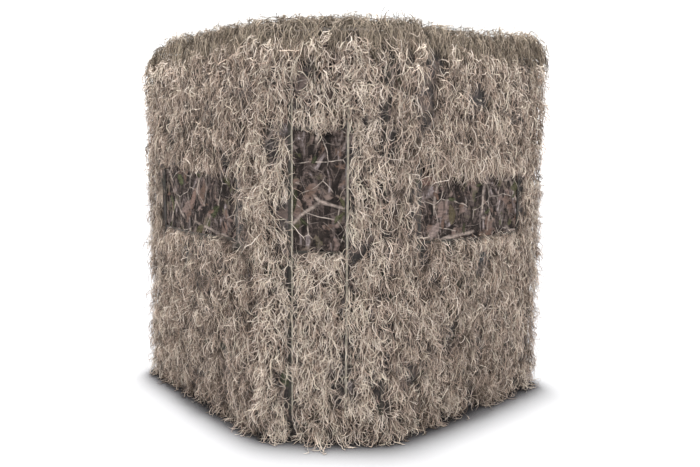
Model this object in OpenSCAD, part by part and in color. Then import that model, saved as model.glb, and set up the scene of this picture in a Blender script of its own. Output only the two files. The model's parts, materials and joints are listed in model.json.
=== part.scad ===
// Pop up ground blind: five hub shelter of fabric and rods under a grass skin.
// Row frame: origin at the plan centre on the ground, +Z up, millimetres.
// The cut off door corner points to -X -Y.
// Panel frames have x to the right, y up and z outwards, seen from outside.

/* [Shelter] */
// Side of the square plan, corner to corner
plan_side = 1500; // [1460:10:1540]
// Leg of the corner that the door panel cuts off
corner_leg = 380; // [360:5:400]
// Height of the walls at the corners
wall_height = 1775; // [1740:5:1800]
// Rise of the roof's middle over the wall tops
roof_rise = 190; // [170:5:200]
// How far a wall stands out at its hub
wall_bulge = 70; // [60:1:80]
// Height of the wall hubs over the ground
hub_height = 800; // [790:1:806]
// Thickness of the fabric skins
fabric_t = 3; // [2:0.5:4]
// Depth of the grass skins
grass_t = 26; // [18:1:30]

/* [Windows] */
// Width of a wall window
window_w = 740; // [660:5:760]
// Height of a wall window's sill
window_low = 885; // [880:1:900]
// Height of a wall window's head
window_high = 1215; // [1150:5:1240]
// Width of the door's window
door_window_w = 226; // [190:2:236]
// Height of the door window's sill
door_window_low = 850; // [800:5:880]
// Height of the door window's head
door_window_high = 1372; // [1250:2:1390]
// Thickness of a window cover
cover_t = 3; // [2:0.5:4]
// How far a cover overlaps its window on each side
cover_lap = 25; // [20:1:28]
// How far a window net overlaps its window on each side
net_lap = 14; // [8:1:16]

/* [Door] */
// Distance of the zip from the door panel's left edge
door_left = 121; // [110:1:130]
// Distance of the door's hinge seam from the panel's right edge
door_right = 14; // [12:1:18]
// Height of the door's lower edge
door_low = 70; // [60:5:90]
// Height of the door's upper edge
door_high = 1650; // [1600:5:1680]
// Distance of the window strip's seam from the panel's left edge
strip_seam = 369; // [366:1:374]
// Width of one zip tape
tape_w = 9; // [7:0.5:10]

/* [Frame] */
// Diameter of the rods
rod_d = 9; // [8:0.5:10]
// Radius of the hub plates
hub_r = 50; // [48:1:52]
// Radius of the outside caps
cap_r = 42; // [36:1:44]
// Distance of the rod pins from the hub's middle
pin_reach = 38; // [37:0.5:39]
// Radius of the rod pins
pin_r = 2.5; // [2:0.1:3]
// Inward distance of a wall rod's tip from its corner, along the wall
tip_inset = 80; // [76:1:90]
// Depth of the wall rods' tips behind the wall
tip_depth = 22; // [21:0.5:24]

/* [Hidden] */
$fn = 48;
half = plan_side / 2;
front_w = plan_side - corner_leg;
front_shift = corner_leg / 2;
door_w = corner_leg * sqrt(2);
door_dist = front_w / sqrt(2);
// Mitre of a square corner, and of the blunt corners beside the door
square = 1;
blunt = tan(22.5);
// Wall rows: turn, middle's shift, width, left mitre, right mitre
WALLS = [
    [-90, -front_shift, front_w, square, blunt],
    [0, front_shift, front_w, blunt, square],
    [180, 0, plan_side, square, square],
    [90, 0, plan_side, square, square]
];
seam_gap = 0.3;
net_t = 1;
// Clearance between skins that lie on each other
skin_gap = 0.3;
// How far cutting shapes run past what they cut
cut = 10;
tip_drop = 80;
tip_top = wall_height - tip_drop;
tip_low = 55;
plate_t = 6;
pin_drop = 14;
run_gap = 0.05;
eye_r = 6;
eye_t = 6;
eye_len = 18;
cheek_gap = 3.6;
cheek_t = 5;
cheek_w = 20;
cheek_under = 8;
boss_r = 16;
ferrule_d = 12;
ferrule_start = 15;
ferrule_len = 36;
tip_cap_d = 11;
tip_cap_len = 12;
cap_over = 7;
cap_step = 2;
cap_rim = 4;
// Clearance of the fabric and of the grass around a cap
cap_gap = 1.5;
grass_cap_gap = 6;
loop_w = 24;
loop_h = 30;
loop_t = 3;
loop_span = 56;
pocket_side = 36;
pocket_r = 15;
pocket_in = 18;
pocket_out = 22;
pocket_end = 4;
roof_tip_inset = 68;
roof_tip_z = wall_height - 20;
roof_low = wall_height + seam_gap;
roof_grass_out = 22;
cover_face = 1;
door_cover_lap = 13;
door_cover_gap = 4;
door_cover_z = -fabric_t - net_t - door_cover_gap;
door_l = -door_w / 2 + door_left;
door_r = door_w / 2 - door_right;
strip_x = -door_w / 2 + strip_seam;
door_window_x = (door_l + strip_x) / 2;
leaf_gap = 1.5;
tape_t = 2;
tape_lift = 0.3;
tape_margin = 30;
grass_low = 5;
grass_edge = 1;
// Gaps in the grass beside windows, tapes, the door's ends and its hinge seam
grass_window_gap = 4;
grass_door_window_gap = 2;
grass_tape_gap = 4;
grass_door_gap = 6;
grass_hinge_gap = 32;
door_net_lap = net_lap - 2;
// Slider of the zip, and its puller
slider_w = 9;
slider_len = 26;
slider_t = 6;
slider_drop = 60;
slider_top = door_high - slider_drop;
slider_gap = 0.2;
puller_len = 42;
puller_w = 7;
puller_t = 2;
// Depth of the puller's root in the slider, its start, and its overlap with the slider
puller_root = 0.5;
puller_start = 6;
puller_lap = 8;
stake_w = 30;
stake_len = 46;
stake_hole_w = 16;
stake_hole_len = 22;
stake_t = 3;
stake_start = 6;
stake_rim = 6;
CORNERS = [
    [-half, -half + corner_leg],
    [-half + corner_leg, -half],
    [half, -half],
    [half, half],
    [-half, half]
];
wall_drop = hub_r * wall_bulge / (front_w / 2) + 0.5;
roof_drop = hub_r * roof_rise / half + 0.5;

roof_fabric();
wall(0);  // left_front_wall
wall(1);  // right_front_wall
wall(2);  // left_rear_wall
wall(3);  // right_rear_wall
corner_panel();
door_leaf();
roof_grass();
wall_grass(0);  // left_front_grass
wall_grass(1);  // right_front_grass
wall_grass(2);  // left_rear_grass
wall_grass(3);  // right_rear_grass
corner_grass();
door_grass();
wall_net(0);  // left_front_net
wall_net(1);  // right_front_net
wall_net(2);  // left_rear_net
wall_net(3);  // right_rear_net
door_net();
wall_cover(0);  // left_front_cover
wall_cover(1);  // right_front_cover
wall_cover(2);  // left_rear_cover
wall_cover(3);  // right_rear_cover
door_cover();
wall_hub(0);  // left_front_hub
wall_hub(1);  // right_front_hub
wall_hub(2);  // left_rear_hub
wall_hub(3);  // right_rear_hub
roof_hub();
wall_cap(0);  // left_front_cap
wall_cap(1);  // right_front_cap
wall_cap(2);  // left_rear_cap
wall_cap(3);  // right_rear_cap
roof_cap();
wall_rod(0, 0);  // left_front_rod_1
wall_rod(0, 1);  // left_front_rod_2
wall_rod(0, 2);  // left_front_rod_3
wall_rod(0, 3);  // left_front_rod_4
wall_rod(1, 0);  // right_front_rod_1
wall_rod(1, 1);  // right_front_rod_2
wall_rod(1, 2);  // right_front_rod_3
wall_rod(1, 3);  // right_front_rod_4
wall_rod(2, 0);  // left_rear_rod_1
wall_rod(2, 1);  // left_rear_rod_2
wall_rod(2, 2);  // left_rear_rod_3
wall_rod(2, 3);  // left_rear_rod_4
wall_rod(3, 0);  // right_rear_rod_1
wall_rod(3, 1);  // right_rear_rod_2
wall_rod(3, 2);  // right_rear_rod_3
wall_rod(3, 3);  // right_rear_rod_4
roof_rod(0);  // roof_rod_1
roof_rod(1);  // roof_rod_2
roof_rod(2);  // roof_rod_3
roof_rod(3);  // roof_rod_4
roof_rod(4);  // roof_rod_5
corner_pockets();
stake_loops();
frame_zip_tape();
door_zip_tape();
zip_slider();

// Panel frame of wall i
module on_wall(i) {
    rotate([0, 0, WALLS[i][0]])
        translate([WALLS[i][1], -half, 0])
            rotate([90, 0, 0])
                children();
}

// Panel frame of the door corner
module on_corner() {
    rotate([0, 0, -45])
        translate([0, -door_dist, 0])
            rotate([90, 0, 0])
                children();
}

// Frame of wall hub i: origin at the fabric's inner face, z outwards
module on_wall_hub(i) {
    on_wall(i)
        translate([0, hub_height, wall_bulge - fabric_t])
            children();
}

// Frame of the roof hub: origin at the fabric's inner face, z up
module on_roof_hub() {
    translate([0, 0, roof_low + roof_rise])
        children();
}

// Skin of a bulged wall: four triangles that meet at the hub
module bulged_skin(inner, outer, low, high, base, t) {
    polyhedron(
        points = [
            [outer[0], low, base + t],
            [outer[1], low, base + t],
            [outer[1], high, base + t],
            [outer[0], high, base + t],
            [0, hub_height, base + t + wall_bulge],
            [inner[0], low, base],
            [inner[1], low, base],
            [inner[1], high, base],
            [inner[0], high, base],
            [0, hub_height, base + wall_bulge]
        ],
        faces = [
            [0, 4, 1], [1, 4, 2], [2, 4, 3], [3, 4, 0],
            [5, 6, 9], [6, 7, 9], [7, 8, 9], [8, 5, 9],
            [0, 1, 6, 5], [1, 2, 7, 6], [2, 3, 8, 7], [3, 0, 5, 8]
        ]
    );
}

// Upright block in a panel frame, from two opposite corners
module panel_block(low, high, z0, z1) {
    translate([low[0], low[1], z0])
        cube([high[0] - low[0], high[1] - low[1], z1 - z0]);
}

// Window opening of a wall, grown by lap on each side
module window_block(lap, z0, z1) {
    panel_block(
        [-window_w / 2 - lap, window_low - lap],
        [window_w / 2 + lap, window_high + lap],
        z0, z1);
}

// Window opening of the door, grown by lap on each side
module door_window_block(lap, z0, z1) {
    panel_block(
        [door_window_x - door_window_w / 2 - lap, door_window_low - lap],
        [door_window_x + door_window_w / 2 + lap, door_window_high + lap],
        z0, z1);
}

// Ends of wall i's fabric: left and right on its outer face, then on its inner face
function wall_out(i) = [-WALLS[i][2] / 2 + seam_gap, WALLS[i][2] / 2 - seam_gap];
function wall_in(i) = [
    wall_out(i)[0] + fabric_t * WALLS[i][3],
    wall_out(i)[1] - fabric_t * WALLS[i][4]
];

// Fabric of wall i, with its window and the hub's hole
module wall(i) {
    color([0.33, 0.32, 0.26])
        on_wall(i)
            difference() {
                bulged_skin(
                    wall_in(i), wall_out(i), 0, wall_height, -fabric_t, fabric_t);
                window_block(0, -cut, wall_bulge + cut);
                translate([0, hub_height, 0])
                    cylinder(r = cap_r + cap_gap, h = wall_bulge + cut);
            }
}

// Grass skin of wall i
module wall_grass(i) {
    w = WALLS[i][2];
    reach = grass_t - seam_gap;
    left = -w / 2 - reach * WALLS[i][3];
    right = w / 2 + reach * WALLS[i][4];
    color([0.70, 0.63, 0.52])
        on_wall(i)
            difference() {
                bulged_skin(
                    wall_out(i), [left, right], 0, wall_height, skin_gap, grass_t);
                panel_block([-w, -cut], [w, grass_low], -cut, wall_bulge + grass_t + cut);
                window_block(grass_window_gap, -cut, wall_bulge + grass_t + cut);
                translate([0, hub_height, 0])
                    cylinder(r = cap_r + grass_cap_gap, h = wall_bulge + grass_t + cut);
            }
}

// Net across the window of wall i
module wall_net(i) {
    color([0.16, 0.15, 0.13])
        on_wall(i)
            intersection() {
                bulged_skin(
                    wall_in(i), wall_in(i), 0, wall_height,
                    -fabric_t - net_t - skin_gap, net_t);
                window_block(net_lap, -2 * cut, wall_bulge + cut);
            }
}

// Fold down cover behind the window of wall i
module wall_cover(i) {
    color([0.30, 0.28, 0.24])
        on_wall(i)
            window_block(cover_lap, cover_face - cover_t, cover_face);
}

// Straight skin with five sides that rises to the roof's middle
module roof_skin(low_scale, high_scale, base, t) {
    polyhedron(
        points = [
            for (c = CORNERS) [c[0] * low_scale, c[1] * low_scale, base],
            for (c = CORNERS) [c[0] * high_scale, c[1] * high_scale, base + t],
            [0, 0, base + roof_rise],
            [0, 0, base + t + roof_rise]
        ],
        faces = [
            for (i = [0 : 4]) [i, (i + 1) % 5, 10],
            for (i = [0 : 4]) [5 + i, 11, 5 + (i + 1) % 5],
            for (i = [0 : 4]) [i, 5 + i, 5 + (i + 1) % 5, (i + 1) % 5]
        ]
    );
}

module roof_fabric() {
    color([0.33, 0.32, 0.26])
        difference() {
            roof_skin(1, 1, roof_low, fabric_t);
            on_roof_hub()
                translate([0, 0, -2 * cut])
                    cylinder(r = cap_r + cap_gap, h = 4 * cut);
        }
}

module roof_grass() {
    color([0.62, 0.57, 0.46])
        difference() {
            roof_skin(1, 1 + roof_grass_out / half, roof_low + fabric_t + skin_gap, grass_t);
            on_roof_hub()
                translate([0, 0, -2 * cut])
                    cylinder(r = cap_r + grass_cap_gap, h = grass_t + 4 * cut);
        }
}

// Flat fabric around the door opening
module corner_panel() {
    left = -door_w / 2 + seam_gap;
    right = door_w / 2 - seam_gap;
    inset = fabric_t * blunt;
    color([0.33, 0.32, 0.26])
        on_corner()
            difference() {
                translate([0, wall_height, 0])
                    rotate([90, 0, 0])
                        linear_extrude(height = wall_height)
                            polygon([
                                [left, 0],
                                [right, 0],
                                [right - inset, -fabric_t],
                                [left + inset, -fabric_t]
                            ]);
                panel_block([door_l, door_low], [door_r, door_high], -cut, cut);
            }
}

// Fabric door with its window
module door_leaf() {
    color([0.33, 0.32, 0.26])
        on_corner()
            difference() {
                panel_block(
                    [door_l + leaf_gap, door_low + leaf_gap],
                    [door_r - leaf_gap, door_high - leaf_gap],
                    -fabric_t, 0);
                door_window_block(0, -cut, cut);
            }
}

// Grass on the fixed fabric left of, over and under the door
module corner_grass() {
    color([0.70, 0.63, 0.52])
        on_corner()
            difference() {
                panel_block(
                    [-door_w / 2 + grass_edge, grass_low],
                    [door_w / 2 - grass_edge, wall_height],
                    skin_gap, grass_t);
                panel_block(
                    [door_l - tape_w - grass_tape_gap, door_low],
                    [door_w, door_high + grass_low],
                    -cut, grass_t + cut);
            }
}

// Grass on the door, parted by the strip seam and cut out at the window
module door_grass() {
    color([0.70, 0.63, 0.52])
        on_corner()
            difference() {
                panel_block(
                    [door_l + leaf_gap + tape_w + grass_tape_gap, door_low + grass_door_gap],
                    [door_r - grass_hinge_gap, door_high - grass_door_gap],
                    skin_gap, grass_t);
                door_window_block(grass_door_window_gap, -cut, grass_t + cut);
                panel_block(
                    [strip_x - tape_w / 2 - grass_edge, 0],
                    [strip_x + tape_w / 2 + grass_edge, wall_height],
                    -cut, grass_t + cut);
            }
}

module door_net() {
    color([0.16, 0.15, 0.13])
        on_corner()
            door_window_block(
                door_net_lap, -fabric_t - net_t - skin_gap, -fabric_t - skin_gap);
}

module door_cover() {
    color([0.30, 0.28, 0.24])
        on_corner()
            door_window_block(door_cover_lap, door_cover_z - cover_t, door_cover_z);
}

// Pair of cheeks with a pin for one rod, along +X
module hub_arm(drop) {
    pin_z = -drop - plate_t - pin_drop;
    for (side = [-1, 1])
        translate([
                pin_reach - cheek_w / 2,
                side * (cheek_gap + cheek_t / 2) - cheek_t / 2,
                pin_z - cheek_under
            ])
            cube([cheek_w, cheek_t, pin_drop + cheek_under + 1]);
    translate([pin_reach, 0, pin_z])
        rotate([90, 0, 0])
            cylinder(r = pin_r, h = 2 * cheek_gap + cheek_t, center = true);
}

// Hub plate and boss with one arm for each angle
module hub(drop, angles) {
    color([0.12, 0.12, 0.12]) {
        translate([0, 0, -drop - plate_t])
            cylinder(r = hub_r, h = plate_t, $fn = 96);
        translate([0, 0, -drop - plate_t - pin_drop - cheek_under])
            cylinder(r = boss_r, h = pin_drop + cheek_under + 1);
        for (a = angles)
            rotate([0, 0, a])
                hub_arm(drop);
    }
}

// Outside cap that clamps the fabric, with its pull loop
module cap(drop) {
    stem = drop + fabric_t + cap_over;
    color([0.10, 0.10, 0.10])
        translate([0, 0, -drop]) {
            cylinder(r = cap_r, h = stem - cap_step, $fn = 96);
            cylinder(r = cap_r - cap_rim, h = stem, $fn = 96);
            translate([-loop_span / 2, -loop_w / 2, stem - 1])
                difference() {
                    cube([loop_span, loop_w, loop_h]);
                    translate([loop_t, -1, 0])
                        cube([loop_span - 2 * loop_t, loop_w + 2, loop_h - loop_t]);
                }
        }
}

// Rod from pin point p to tip point q, both in one frame whose z is outwards
module rod(p, q) {
    v = q - p;
    len = norm(v);
    flat = norm([v[0], v[1]]);
    color([0.82, 0.81, 0.76])
        translate(p)
            rotate([0, 0, atan2(v[1], v[0])])
                rotate([0, -atan2(v[2], flat), 0]) {
                    difference() {
                        union() {
                            rotate([90, 0, 0])
                                cylinder(r = eye_r, h = eye_t, center = true);
                            translate([0, -eye_t / 2, -eye_r])
                                cube([eye_len, eye_t, 2 * eye_r]);
                        }
                        rotate([90, 0, 0])
                            cylinder(r = pin_r + run_gap, h = eye_t + 2, center = true);
                    }
                    translate([ferrule_start, 0, 0])
                        rotate([0, 90, 0])
                            cylinder(d = ferrule_d, h = ferrule_len);
                    translate([ferrule_start, 0, 0])
                        rotate([0, 90, 0])
                            cylinder(d = rod_d, h = len - ferrule_start);
                    translate([len - tip_cap_len, 0, 0])
                        rotate([0, 90, 0])
                            cylinder(d = tip_cap_d, h = tip_cap_len);
                }
}

// Tips of wall i's rods: upper left, upper right, lower right, lower left
function wall_tip(i, k) = [
    (k == 0 || k == 3 ? -1 : 1) * (WALLS[i][2] / 2 - tip_inset),
    k < 2 ? tip_top : tip_low,
    -tip_depth
];
function wall_hub_point() = [0, hub_height, wall_bulge - fabric_t];
function wall_arm(i, k) =
    atan2(wall_tip(i, k)[1] - hub_height, wall_tip(i, k)[0]);
function wall_pin(i, k) = wall_hub_point() + [
    pin_reach * cos(wall_arm(i, k)),
    pin_reach * sin(wall_arm(i, k)),
    -wall_drop - plate_t - pin_drop
];
function roof_tip(k) =
    let (c = CORNERS[k], share = 1 - roof_tip_inset / norm(c))
    [c[0] * share, c[1] * share, roof_tip_z];
function roof_arm(k) = atan2(CORNERS[k][1], CORNERS[k][0]);
function roof_pin(k) = [
    pin_reach * cos(roof_arm(k)),
    pin_reach * sin(roof_arm(k)),
    roof_low + roof_rise - roof_drop - plate_t - pin_drop
];

module wall_hub(i) {
    on_wall_hub(i)
        hub(wall_drop, [for (k = [0 : 3]) wall_arm(i, k)]);
}

module roof_hub() {
    on_roof_hub()
        hub(roof_drop, [for (k = [0 : 4]) roof_arm(k)]);
}

module wall_cap(i) {
    on_wall_hub(i)
        cap(wall_drop);
}

module roof_cap() {
    on_roof_hub()
        cap(roof_drop);
}

module wall_rod(i, k) {
    on_wall(i)
        rod(wall_pin(i, k), wall_tip(i, k));
}

module roof_rod(k) {
    rod(roof_pin(k), roof_tip(k));
}

// Socket for one rod tip, along +X from the hub, tip at the origin
module pocket() {
    difference() {
        translate([-pocket_in, -pocket_side / 2, -pocket_side / 2])
            cube([pocket_in + pocket_out + pocket_end, pocket_side, pocket_side]);
        translate([-pocket_in - 1, 0, 0])
            rotate([0, 90, 0])
                cylinder(r = pocket_r, h = pocket_in + pocket_out + 1);
    }
}

module corner_pockets() {
    color([0.15, 0.15, 0.14]) {
        for (i = [0 : 3])
            for (k = [0 : 3])
                on_wall(i)
                    translate(wall_tip(i, k))
                        rotate([0, 0, wall_arm(i, k)])
                            pocket();
        for (k = [0 : 4])
            translate(roof_tip(k))
                rotate([0, 0, roof_arm(k)])
                    pocket();
    }
}

// Webbing loops for ground stakes at the five lower corners
module stake_loops() {
    color([0.14, 0.14, 0.13])
        for (c = CORNERS)
            translate([c[0], c[1], 0])
                rotate([0, 0, atan2(c[1], c[0])])
                    translate([stake_start, -stake_w / 2, 0])
                        difference() {
                            cube([stake_len, stake_w, stake_t]);
                            translate([
                                    stake_len - stake_hole_len - stake_rim,
                                    (stake_w - stake_hole_w) / 2,
                                    -1
                                ])
                                cube([stake_hole_len, stake_hole_w, stake_t + 2]);
                        }
}

module frame_zip_tape() {
    color([0.55, 0.50, 0.38])
        on_corner()
            panel_block(
                [door_l - tape_w, door_low + tape_margin],
                [door_l - 0.5, door_high - tape_margin],
                tape_lift, tape_lift + tape_t);
}

// Zip tape and the matching tape over the window strip's seam
module door_zip_tape() {
    color([0.55, 0.50, 0.38])
        on_corner() {
            panel_block(
                [door_l + leaf_gap, door_low + tape_margin],
                [door_l + leaf_gap + tape_w, door_high - tape_margin],
                tape_lift, tape_lift + tape_t);
            panel_block(
                [strip_x - tape_w / 2, door_low + tape_margin],
                [strip_x + tape_w / 2, door_high - tape_margin],
                tape_lift, tape_lift + tape_t);
        }
}

module zip_slider() {
    right = door_l - 0.8;
    base = tape_lift + tape_t + slider_gap;
    color([0.08, 0.08, 0.08])
        on_corner() {
            panel_block(
                [right - slider_w, slider_top - slider_len],
                [right, slider_top],
                base, base + slider_t);
            panel_block(
                [right - (slider_w + puller_w) / 2, slider_top - slider_len - puller_len + puller_lap],
                [right - (slider_w - puller_w) / 2, slider_top - puller_start],
                base + slider_t - puller_root, base + slider_t + puller_t);
        }
}
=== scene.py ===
"""Pop up ground blind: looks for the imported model. Metres, +Z up, origin at the plan centre on the ground."""

import json
import math

import bpy
import numpy as np
from mathutils import Matrix


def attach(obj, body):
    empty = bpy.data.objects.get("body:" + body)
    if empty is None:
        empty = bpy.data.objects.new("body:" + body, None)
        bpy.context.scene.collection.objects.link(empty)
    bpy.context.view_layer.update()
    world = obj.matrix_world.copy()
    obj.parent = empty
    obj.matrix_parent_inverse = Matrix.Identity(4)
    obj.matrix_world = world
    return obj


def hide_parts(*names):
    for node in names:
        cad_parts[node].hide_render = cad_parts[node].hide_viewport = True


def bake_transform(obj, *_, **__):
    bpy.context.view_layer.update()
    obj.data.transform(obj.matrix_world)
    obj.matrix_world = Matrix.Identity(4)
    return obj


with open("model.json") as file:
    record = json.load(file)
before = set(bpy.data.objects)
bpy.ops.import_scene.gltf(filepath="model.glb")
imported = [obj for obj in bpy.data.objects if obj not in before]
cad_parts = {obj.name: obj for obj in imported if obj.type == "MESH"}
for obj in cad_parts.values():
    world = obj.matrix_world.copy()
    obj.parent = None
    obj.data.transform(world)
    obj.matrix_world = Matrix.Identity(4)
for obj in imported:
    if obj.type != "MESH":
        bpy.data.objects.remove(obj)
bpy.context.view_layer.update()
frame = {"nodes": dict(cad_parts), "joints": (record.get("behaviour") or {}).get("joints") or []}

X, Y, Z = range(3)


def turn(p, degrees):
    """Points or directions turned about Z."""
    a = math.radians(degrees)
    c, s = math.cos(a), math.sin(a)
    p = np.asarray(p, float)
    return np.stack(
        [c * p[..., 0] - s * p[..., 1], s * p[..., 0] + c * p[..., 1], p[..., 2]], -1
    )


def reach(node, degrees=0.0):
    """Lowest and highest corner of a CAD node, turned about Z, to a hundredth of a millimetre."""
    points = turn([v.co for v in frame["nodes"][node].data.vertices], degrees)
    return np.round(points.min(0), 5), np.round(points.max(0), 5)


# The shelter, from the CAD nodes: half its plan side, the walls, the roof and the cut-off corner
roof_low, roof_high = reach("roof_fabric")
HALF, ROOF_Z = roof_high[X], roof_low[Z]
wall_low, wall_high = reach("left_front_wall")
H = wall_high[Z]
SEAM = HALF - wall_high[Y]
LEG = HALF + wall_low[Y] - SEAM
FABRIC_T = HALF - reach("left_rear_wall")[0][Y]
FRONT_W = 2 * HALF - LEG
RISE = 0.19
# The roof grass's share of its hub's travel is spread over a little more than the roof's rise
SLACK = 1.03
BULGE = 0.07
# The printed face and its black backing are two sheets: their thickness and the gap between them.
LAYER_T, LAYER_GAP = 0.0004, 0.0007
PRINT_IN, ROOF_PRINT = 0.0014, 0.0020
# Hubs: their height and the radius of their caps
cap_low, cap_high = reach("left_rear_cap")
HUB_Z, CAP_R = (cap_low[Z] + cap_high[Z]) / 2, cap_high[X]
# Wall windows, with the laps of their nets and covers
NET_LAP = 0.014
net_low, net_high = reach("left_rear_net")
WIN_W, WIN_LOW, WIN_HIGH = 2 * (net_high[X] - NET_LAP), net_low[Z] + NET_LAP, net_high[Z] - NET_LAP
COVER_LAP = reach("left_rear_cover")[1][X] - WIN_W / 2
# Door, in the frame of the corner's panel
CORNER_ANGLE = -45
DOOR_W = LEG * math.sqrt(2)
DOOR_DIST = FRONT_W / math.sqrt(2)
LEAF_GAP = 0.0015
leaf_low, leaf_high = reach("door_leaf", -CORNER_ANGLE)
DOOR_L, DOOR_R = leaf_low[X] - LEAF_GAP, leaf_high[X] + LEAF_GAP
DOOR_LOW, DOOR_HIGH = leaf_low[Z] - LEAF_GAP, leaf_high[Z] + LEAF_GAP
TAPE_W = 0.009
STRIP_X = reach("door_zip_tape", -CORNER_ANGLE)[1][X] - TAPE_W / 2
# The door's window, with the laps of its net and cover
DNET_LAP = NET_LAP - 0.002
dnet_low, dnet_high = reach("door_net", -CORNER_ANGLE)
DWIN_X, DWIN_W = (dnet_low[X] + dnet_high[X]) / 2, dnet_high[X] - dnet_low[X] - 2 * DNET_LAP
DWIN_LOW, DWIN_HIGH = dnet_low[Z] + DNET_LAP, dnet_high[Z] - DNET_LAP
DCOVER_LAP = DWIN_LOW - reach("door_cover")[0][Z]
# Heights between which the grass leaves the door's tapes in sight
SEEN_LOW, SEEN_HIGH = 0.42, 1.45
# Wall name: turn about Z, shift of its middle, width
WALLS = {
    "left_front": (-90, -LEG / 2, FRONT_W),
    "right_front": (0, LEG / 2, FRONT_W),
    "left_rear": (180, 0.0, 2 * HALF),
    "right_rear": (90, 0.0, 2 * HALF),
}
CORNERS = np.array(
    [
        [-HALF, -HALF + LEG],
        [-HALF + LEG, -HALF],
        [HALF, -HALF],
        [HALF, HALF],
        [-HALF, HALF],
    ]
)
DENSITY = 1.0

# ---------------------------------------------------------------- frames


class Panel:
    """A panel's frame: u to the right, v up, w outwards, seen from outside."""

    def __init__(self, angle, shift, dist, width, bulge):
        self.angle, self.shift, self.dist = angle, shift, dist
        self.width, self.bulge = width, bulge

    def at(self, u, v, w):
        u, v, w = np.broadcast_arrays(u, v, w)
        return turn(np.stack([u + self.shift, -self.dist - w, v], -1), self.angle)

    def way(self, u, v, w):
        u, v, w = np.broadcast_arrays(u, v, w)
        return turn(np.stack([u, -w, v], -1).astype(float), self.angle)

    def local(self, p):
        """Panel coordinates of world points."""
        q = turn(p, -self.angle)
        return q[..., 0] - self.shift, q[..., 2], -q[..., 1] - self.dist

    def surface(self, u, v):
        """How far the fabric stands out of the corners' plane."""
        u, v = np.broadcast_arrays(np.asarray(u, float), np.asarray(v, float))
        if not self.bulge:
            return np.zeros(u.shape)
        a = np.abs(u) / (self.width / 2)
        b = np.where(v > HUB_Z, (v - HUB_Z) / (H - HUB_Z), (HUB_Z - v) / HUB_Z)
        m = np.maximum(a, b)
        return self.bulge * np.clip(1 - m, 0, 1)

    def slope(self, u, v):
        e = 0.01
        du = (self.surface(u + e, v) - self.surface(u - e, v)) / (2 * e)
        dv = (self.surface(u, v + e) - self.surface(u, v - e)) / (2 * e)
        return du, dv


PANELS = {n: Panel(a, s, HALF, w, BULGE) for n, (a, s, w) in WALLS.items()}
PANELS["corner"] = Panel(CORNER_ANGLE, 0.0, DOOR_DIST, DOOR_W, 0.0)

# ---------------------------------------------------------------- camera


def make_camera():
    lens_mm, dist, az, height = 31.32, 3.410, 0.08681 - math.pi / 4, 1.236
    pitch, roll, yaw = 0.11643, 0.00958, -0.01634
    place = np.array([dist * math.sin(az), -dist * math.cos(az), height])
    flat = np.array([-math.sin(az + yaw), math.cos(az + yaw), 0])
    right = np.array([math.cos(az + yaw), math.sin(az + yaw), 0])
    ahead = flat * math.cos(pitch) - np.array([0, 0, 1]) * math.sin(pitch)
    up = np.cross(right, ahead)
    across = right * math.cos(roll) + up * math.sin(roll)
    above = -right * math.sin(roll) + up * math.cos(roll)
    cam = bpy.data.cameras.new("camera")
    cam.sensor_width = 36
    cam.lens = lens_mm
    ob = bpy.data.objects.new("camera", cam)
    m = Matrix.Identity(4)
    for i in range(3):
        m[i][0], m[i][1], m[i][2], m[i][3] = across[i], above[i], -ahead[i], place[i]
    ob.matrix_world = m
    bpy.context.scene.collection.objects.link(ob)
    bpy.context.scene.camera = ob


make_camera()

# ---------------------------------------------------------------- material nodes


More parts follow.
